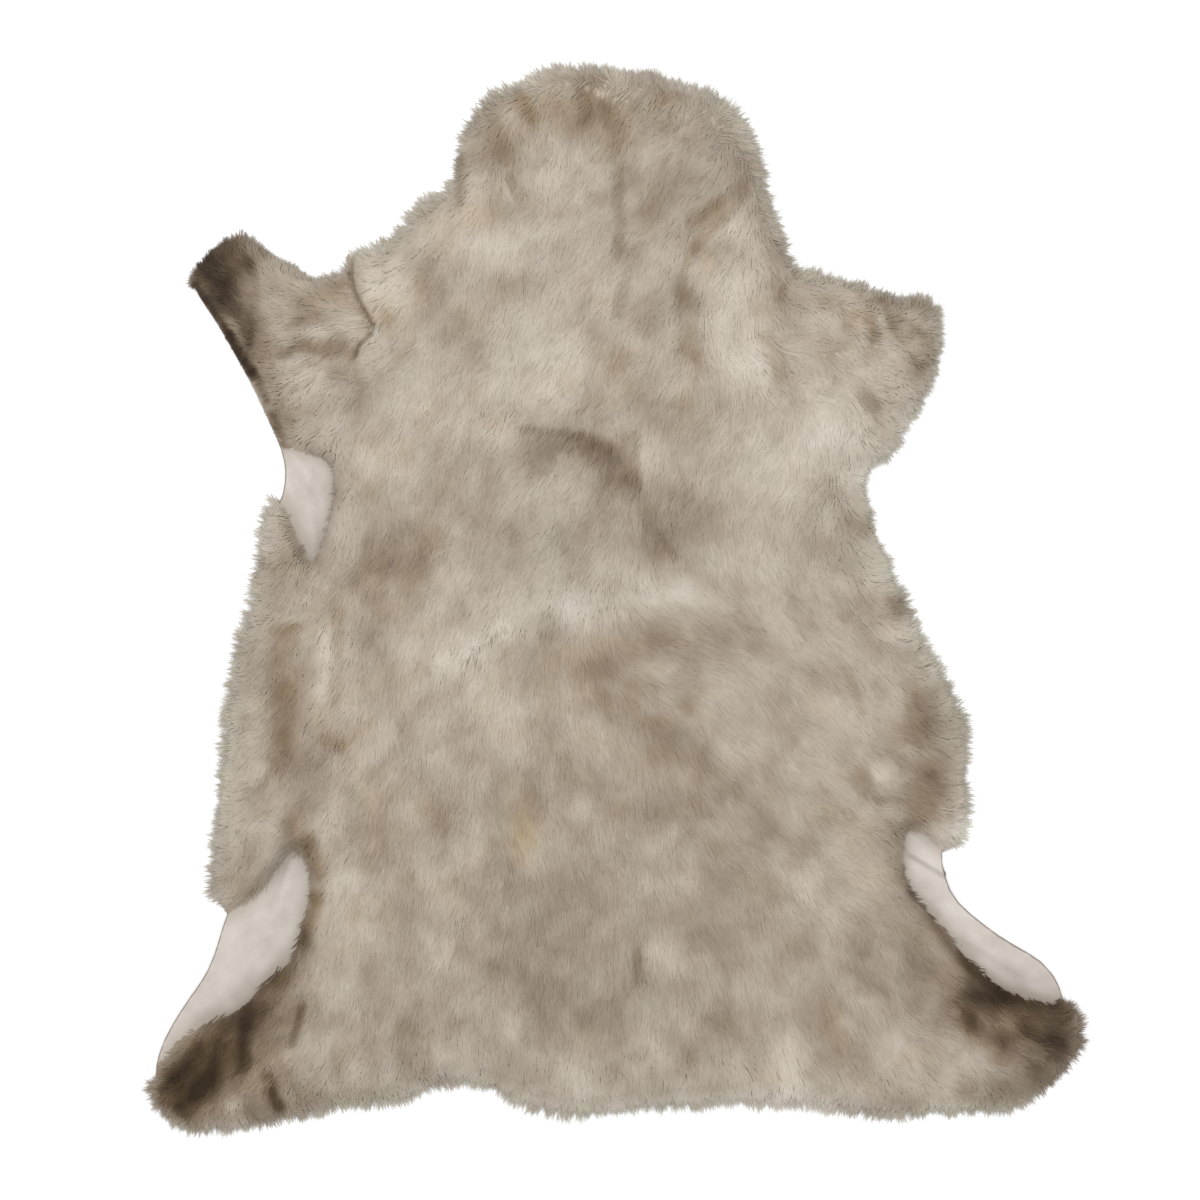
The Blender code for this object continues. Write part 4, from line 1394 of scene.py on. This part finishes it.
def hair_ways(roots, rng, growth, big, small):
    """Each hair's level direction, and whether it is one of the fringe's that point outwards."""
    lay = unit(np.stack([read(lay_x, roots), read(lay_y, roots)], axis=1))
    out = unit(read(outward, roots))
    sweep = SWEEP_MOST * crossed(lay, out) * (1 - smooth_share(read(depth, roots), 0, SWEEP_DEPTH))
    stir = read(unrest, roots) * ((big[:, 0] - 0.5) * BIG_STIR + (small[:, 0] - 0.5) * SMALL_STIR)
    lay = turned(lay, sweep + stir)
    out = turned(out, (small[:, 0] - 0.5) * FRINGE_STIR + rng.normal(0, FRINGE_SPREAD, len(roots)))
    against = np.clip(-(lay * out).sum(axis=1), 0, 1)
    fringe_end = growth.fringe_depth + against * AGAINST_DEPTH
    share = 1 - smooth_share(read(depth, roots), FRINGE_START, fringe_end)
    chance = TUFT_CHANCE * small[:, 2] + (1 - TUFT_CHANCE) * rng.uniform(0, 1, len(roots))
    fringe = (chance < share) & (read(reach, roots) > FRINGE_LEAST)
    return np.where(fringe[:, None], unit(out + FRINGE_LAY * lay), lay), fringe


print("the lie's sweep at the edge, degrees:", round(math.degrees(SWEEP_MOST)))

# %% Choose how far each hair goes
# By the lie: the tuft's part, the hair's own part, and less near bare places and the edge
TUFT_LENGTH_LEAST = 0.8
TUFT_LENGTH_MORE = 0.35
OWN_LENGTH = (0.8, 1.15)
SHORTEST = 0.6
SHORT_DEPTH = 14 * MM
# How uneven the rim is, by place, lock and tuft
REACH_LEAST = 0.90
REACH_MOST = 1.52
UNEVEN_SIZE = 12 * MM
UNEVEN_SEED = 33
LOCK_SIZE = 5 * MM
LOCK_SEED = 34
LOCK_REACH = 0.18
TUFT_REACH = 0.25
# How far past the edge a hair may go
PAST_LEAST = 0.3 * MM
PAST_MORE = 2 * MM
PAST_BAND = (0.5 * MM, 4 * MM)
PAST_SHARE_LEAST = 0.5
PAST_SHARE_MORE = 0.75
LONGEST = (1.1, 1.4)
# How far hairs may hang over bare leather, and how they are cut back
BARE_OVERHANG = 2 * MM
OVERHANG_SPREAD = (0.2, 1)
CUT_BACK = 0.7
CUTS = 2
# A sharp fold stops hairs a little past its ends too
FOLD_ENDS = (-0.04, 1.04)


def stopped_at_folds(roots, places):
    """The places again, pulled back to where the way there from the roots meets a sharp fold."""
    way = unit(places - roots)
    long = np.linalg.norm(places - roots, axis=1)
    for fold in FOLD_LINES:
        start, run = start_and_run(fold)
        slant = crossed(way, run)
        slant = np.where(np.abs(slant) < TINY, TINY, slant)
        meets_at = crossed(start - roots, run) / slant
        share = crossed(start - roots, way) / slant
        meets = (meets_at > 0) & (share > FOLD_ENDS[0]) & (share < FOLD_ENDS[1])
        long = np.where(meets, np.minimum(long, meets_at), long)
    return roots + way * long[:, None]


def hair_lengths(roots, rng, growth, way, fringe, small):
    """How far each hair goes: by the lie, or in the fringe out to the rim, and never far past it."""
    count = len(roots)
    usual = read(hair_length, roots)
    tuft_length = TUFT_LENGTH_LEAST + TUFT_LENGTH_MORE * small[:, 1]
    long = usual * growth.length * tuft_length * rng.uniform(*OWN_LENGTH, count)
    long *= SHORTEST + (1 - SHORTEST) * read(cover, roots)
    long *= SHORTEST + (1 - SHORTEST) * smooth_share(read(depth, roots), 0, SHORT_DEPTH)
    uneven = 0.5 + 0.5 * soft_noise(roots, UNEVEN_SIZE, UNEVEN_SEED)
    uneven = REACH_LEAST + (REACH_MOST - REACH_LEAST) * uneven
    uneven += LOCK_REACH * soft_noise(roots, LOCK_SIZE, LOCK_SEED) + TUFT_REACH * (small[:, 1] - 0.5)
    wool_edge = read(reach, roots)
    past_edge = wool_edge + PAST_LEAST + PAST_MORE * smooth_share(wool_edge, *PAST_BAND)
    past_edge *= uneven * (PAST_SHARE_LEAST + PAST_SHARE_MORE * rng.uniform(0, 1, count) ** 2)
    longest = usual * rng.uniform(*LONGEST, count)
    long = np.where(fringe, np.minimum(read(depth, roots) + past_edge, longest), long)
    past_bare = BARE_OVERHANG * rng.uniform(*OVERHANG_SPREAD, count)
    for _ in range(CUTS):
        ends = roots + way * long[:, None]
        past = np.maximum(-read(depth, ends) - past_edge, -read(bare_gap, ends) - past_bare)
        long -= np.clip(past, 0, CUT_BACK * long)
    return long


print("a hair's usual length, mm:", np.round(np.array([hair_length.min(), hair_length.max()]) / MM))

# %% Bend a hair from its root
# From root to tip
STATIONS = np.array([0.0, 0.34, 0.68, 1.0])
TONE_ALONG = (-0.006, -0.002, 0.002, 0.006)
RISE_ALONG = (0.0, 0.7, 1.0, 0.6)
RUN_CURVE = 1.1
# How a hair turns and bends on its way
LONE_TURN = 0.10
TUFT_BEND = 0.7
BEND_SPREAD = 0.10
MEET_AT = 0.95
# Its colour, by big tuft, small tuft and hair, and how much of its root's it keeps
BIG_TONE = 0.04
SMALL_TONE = 0.02
HAIR_TONE = 0.006
BIG_WARMTH = 0.08
HAIR_WARMTH = 0.03
OWN_COLOUR = 0.2
DARK_STREAKS = 1.5
# Its height, and the least of it over the leather and over the floor
HAIR_LIFT = 0.2 * MM
TUFT_LIFT = 0.3 * MM
HAIR_DEPTH = 0.6 * MM
HAIR_FALL = 15 * MM
LEATHER_GAP = 0.4 * MM
LEAST_LEVEL = 0.7 * MM


def lay_hairs(roots, rng, growth):
    """The centre line of a hair from each root, and the tone and warmth along it."""
    count = len(roots)
    big = tuft_of(roots, BIG_TUFTS)[1]
    centre, small = tuft_of(roots, growth.tufts)
    way, fringe = hair_ways(roots, rng, growth, big, small)
    long = hair_lengths(roots, rng, growth, way, fringe, small)
    long = np.linalg.norm(stopped_at_folds(roots, roots + way * long[:, None]) - roots, axis=1)
    lone = rng.normal(0, LONE_TURN, count)
    bend = (small[:, 2] - 0.5) * TUFT_BEND * read(unrest, roots) + rng.normal(0, BEND_SPREAD, count)
    meet = centre + way * (long * MEET_AT)[:, None]
    own_tone = (big[:, 2] - 0.5) * BIG_TONE + (small[:, 3] - 0.5) * SMALL_TONE
    own_tone += rng.normal(0, HAIR_TONE, count)
    own_warmth = (big[:, 3] - 0.5) * BIG_WARMTH + rng.normal(0, HAIR_WARMTH, count)
    at_root = painted(roots)
    own_tone *= 1 + DARK_STREAKS * darkness(at_root.tone)
    low = np.where(fringe, rng.uniform(growth.lowest, 1, count), 1)
    line = np.empty((count, len(STATIONS), 3))
    tones, warmths = np.empty((2, count, len(STATIONS)))
    lift = rng.uniform(-HAIR_LIFT, HAIR_LIFT, count) + (small[:, 1] - 0.5) * TUFT_LIFT
    for number, t in enumerate(STATIONS):
        level = roots + turned(way, lone + bend * t) * (long * t ** RUN_CURVE)[:, None]
        level += (meet - level) * (growth.pull * (0.5 + 0.5 * small[:, 3]) * t ** 2)[:, None]
        level = stopped_at_folds(roots, level)
        here = painted(level)
        raised = RISE_ALONG[number]
        rise = wool_top(level, here.sink) + lift * raised - HAIR_DEPTH * (1 - raised)
        rise *= edge_fall(level, -HAIR_FALL) * low
        least = np.where(read(depth, level) > 0, leather_shape(level)[0] + LEATHER_GAP, LEAST_LEVEL)
        line[:, number, :2] = level
        line[:, number, 2] = np.maximum(rise, least)
        tones[:, number] = here.tone + OWN_COLOUR * (at_root.tone - here.tone)
        tones[:, number] += own_tone + TONE_ALONG[number]
        warmths[:, number] = here.warmth + own_warmth
    return line, tones, warmths


print("stations of a hair:", len(STATIONS))

# %% Make ribbons of the hairs
WIDTH_ALONG = (0.8, 1.0, 0.75)
WARMTH_ACROSS = 0.012
# A ribbon is lit mostly as the whole coat is at its place
COAT_FACING = 0.85
COAT_TILT = 0.7
COAT_BAND = (-16 * MM, 6 * MM)
COAT_BLUR = 5 * MM
MAP_ENDS = (0.01, 0.99)

coat_top = blurred(height * fullness * smooth_share(depth, *COAT_BAND), COAT_BLUR)
coat_slope = COAT_TILT * np.stack(np.gradient(coat_top, CHART_STEP), axis=-1)


def ribbons(name, line, width, roll, tones, warmths):
    """One mesh with a tapering ribbon along each centre line."""
    stations = line.shape[1]
    run = unit(np.gradient(line, axis=1))
    side = unit(np.cross(run, (0, 0, 1)))
    raised = np.cross(side, run)
    across = side * np.cos(roll)[:, None, None] + raised * np.sin(roll)[:, None, None]
    half = across[:, :-1] * (width[:, None] * np.array(WIDTH_ALONG) / 2)[..., None]
    points = np.concatenate([line[:, :-1] - half, line[:, :-1] + half, line[:, -1:]], axis=1)
    slope = read(coat_slope, line[..., :2])
    coat = unit(np.concatenate([-slope, np.ones_like(slope[..., :1])], axis=-1))
    facing = unit(np.cross(across, run) * (1 - COAT_FACING) + coat * COAT_FACING)
    lefts = np.arange(stations - 1)
    rights = lefts + stations - 1
    corners = []
    for k in range(stations - 2):
        corners += [lefts[k], rights[k], rights[k + 1], lefts[k + 1]]
    corners += [lefts[-1], rights[-1], 2 * stations - 2]
    starts = 4 * np.arange(stations - 1)
    facing, tones, warmths = (
        np.concatenate([v[:, :-1], v[:, :-1], v[:, -1:]], axis=1) for v in (facing, tones, warmths)
    )
    warmths[:, lefts] -= WARMTH_ACROSS
    warmths[:, rights] += WARMTH_ACROSS
    piece = joined_mesh(name, points, np.array(corners), starts, tones, warmths)
    piece.data.normals_split_custom_set_from_vertices(facing.reshape(-1, 3))
    return piece


def joined_mesh(name, points, corners, starts, tones, warmths):
    """One mesh of many copies of a small one, with their tones and warmths as a map."""
    count, each = points.shape[:2]
    mesh = bpy.data.meshes.new(name)
    mesh.vertices.add(count * each)
    mesh.vertices.foreach_set("co", points.astype(np.float32).ravel())
    loops = (corners[None] + each * np.arange(count)[:, None]).ravel()
    mesh.loops.add(len(loops))
    mesh.loops.foreach_set("vertex_index", loops.astype(np.int32))
    faces = (starts[None] + len(corners) * np.arange(count)[:, None]).ravel()
    mesh.polygons.add(len(faces))
    mesh.polygons.foreach_set("loop_start", faces.astype(np.int32))
    mesh.polygons.foreach_set("use_smooth", np.ones(len(faces), bool))
    mesh.update(calc_edges=True)
    places = np.clip(np.stack([tones.ravel()[loops], warmths.ravel()[loops]], axis=1), *MAP_ENDS)
    layer = mesh.uv_layers.new(name=BAKE_MAP)
    layer.data.foreach_set("uv", places.astype(np.float32).ravel())
    piece = bpy.data.objects.new(name, mesh)
    bpy.context.scene.collection.objects.link(piece)
    return piece


print("the coat's steepest slope:", round(float(np.abs(coat_slope).max()), 2))

# %% Grow the coat
COAT_SEED = 61
COAT_STEP = 1.76 * MM
COAT_GROWTH = Growth(length=1.1, pull=0.22, tufts=SMALL_TUFTS, fringe_depth=7 * MM, lowest=0.8)
COAT_INSET = 0.8 * MM
COAT_WIDTH = (0.7 * MM, 1.05 * MM)
COAT_ROLL = 0.12

Region = namedtuple("Region", "name tail_end head_end")
REGIONS = (
    Region("wool_head", 215, 1000),
    Region("wool_shoulders", 75, 215),
    Region("wool_back", -85, 75),
    Region("wool_loins", -245, -85),
    Region("wool_rump", -1000, -245),
)


def scattered(step, rng):
    """Places over the skin about that far apart, none in a row."""
    count = np.ceil((skin_high[:2] - skin_low[:2]) / step).astype(int)
    cells = np.stack(np.meshgrid(np.arange(count[0]), np.arange(count[1]), indexing="ij"), axis=-1)
    cells = cells.reshape(-1, 2)
    return skin_low[:2] + (cells + rng.uniform(0, 1, cells.shape)) * step


rng = np.random.default_rng(COAT_SEED)
roots = scattered(COAT_STEP, rng)
roots = roots[(read(depth, roots) > COAT_INSET) & (rng.uniform(0, 1, len(roots)) < read(cover, roots))]
line, tones, warmths = lay_hairs(roots, rng, COAT_GROWTH)
width = rng.uniform(*COAT_WIDTH, len(roots))
roll = rng.uniform(-COAT_ROLL, COAT_ROLL, len(roots))
for region in REGIONS:
    mine = (roots[:, 1] >= region.tail_end * MM) & (roots[:, 1] < region.head_end * MM)
    piece = ribbons(region.name, line[mine], width[mine], roll[mine], tones[mine], warmths[mine])
    finish_piece(piece, hair_material)
    print(region.name, "hairs:", int(mine.sum()))

# %% [markdown]
# ## The sharp folds
# Where the skin is folded sharply the wool closes over a dark line, whose dark is painted shadow. The
# coat's hairs end at such a line, and short hairs are laid along it here, as they lie in the bottom of a
# real fold, dyed with that painted shadow.

# %% Lay hairs along the sharp folds
FOLD_SEED = 66
FOLD_SPACING = 0.22 * MM
FOLD_SPREAD = 0.45
FOLD_START = (-0.1, 0.9)
FOLD_TURN = 0.4
FOLD_LENGTH = 5 * MM
FOLD_UNEVEN = (0.6, 1.1)
FOLD_WIDTH = (0.6 * MM, 0.9 * MM)
FOLD_DEPTH = 0.2 * MM
FOLD_TONE = 0.03

rng = np.random.default_rng(FOLD_SEED)
roots, ways, lengths = [], [], []
for fold in FOLD_LINES:
    start, run = start_and_run(fold)
    long = np.linalg.norm(run)
    count = int(long / FOLD_SPACING)
    side = np.array([-run[1], run[0]]) / long
    spread = rng.normal(0, FOLD_SPREAD * fold.width * MM, count)
    roots.append(start + run * rng.uniform(*FOLD_START, count)[:, None] + side * spread[:, None])
    ways.append(turned(np.tile(run / long, (count, 1)), rng.normal(0, FOLD_TURN, count)))
    lengths.append(np.minimum(long, FOLD_LENGTH) * rng.uniform(*FOLD_UNEVEN, count))
roots, ways, lengths = (np.concatenate(parts) for parts in (roots, ways, lengths))
level = roots[:, None] + ways[:, None] * (lengths[:, None] * STATIONS)[..., None]
paint = painted(level.reshape(-1, 2))
top = wool_top(level.reshape(-1, 2), paint.sink).reshape(len(roots), -1) - FOLD_DEPTH
line = np.concatenate([level, top[..., None]], axis=-1)
# They take the fold line's painted shadow as their colour
tones, warmths = (values.reshape(top.shape) for values in (paint.tone, paint.warmth))
tones += rng.normal(0, FOLD_TONE, len(roots))[:, None]
width = rng.uniform(*FOLD_WIDTH, len(roots))
roll = np.zeros(len(roots))
folds = ribbons("wool_folds", line, width, roll, tones, warmths)
finish_piece(folds, hair_material)
print("fold hairs:", len(roots))

# %% [markdown]
# ## The rim
# Past the leather's edge the wool hangs over in fine points. These hairs are finer than the coat's and
# longest where the wool was left untrimmed, so a hair's reach comes from how far the solid's locks reach
# there and from the rim's table. They start a little inside the edge, more of them near it than further in.

# %% Hang hairs over the edge
RIM_SEED = 71
RIM_SPACING = 0.105 * MM
RIM_INSET = 6.5 * MM
RIM_NEAREST = 0.6 * MM
RIM_DEEPEST = 22 * MM
RIM_ROOT_DEPTH = 0.5 * MM
RIM_COVER = 0.5
RIM_WIDTH = (0.4 * MM, 0.65 * MM)
RIM_ROLL = 0.5
RIM_GROWTH = Growth(length=1.0, pull=0.22, tufts=RIM_TUFTS, fringe_depth=40 * MM, lowest=0.4)

rng = np.random.default_rng(RIM_SEED)
count = int(len(outline) * OUTLINE_STEP / RIM_SPACING)
spot = rng.uniform(0, len(outline), count)
mark = spot.astype(int) % len(outline)
after = (mark + 1) % len(outline)
on_edge = outline[mark] + (outline[after] - outline[mark]) * (spot % 1)[:, None]
inset = np.maximum(rng.exponential(RIM_INSET, count) % RIM_DEEPEST, RIM_NEAREST)
roots = on_edge - unit(read(outward, on_edge)) * inset[:, None]
woolly = (read(cover, roots) > RIM_COVER) & (rim_reach[mark] > FRINGE_LEAST)
roots = roots[woolly & (read(depth, roots) > RIM_ROOT_DEPTH)]
line, tones, warmths = lay_hairs(roots, rng, RIM_GROWTH)
width = rng.uniform(*RIM_WIDTH, len(roots))
roll = rng.uniform(-RIM_ROLL, RIM_ROLL, len(roots))
rim = ribbons("wool_rim", line, width, roll, tones, warmths)
finish_piece(rim, hair_material)
print("rim hairs:", len(roots))

# %% [markdown]
# ## Finish
# The triangles of all the shown pieces are counted.

total = sum(len(p.vertices) - 2 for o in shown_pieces() for p in o.data.polygons)
print("triangles:", total)
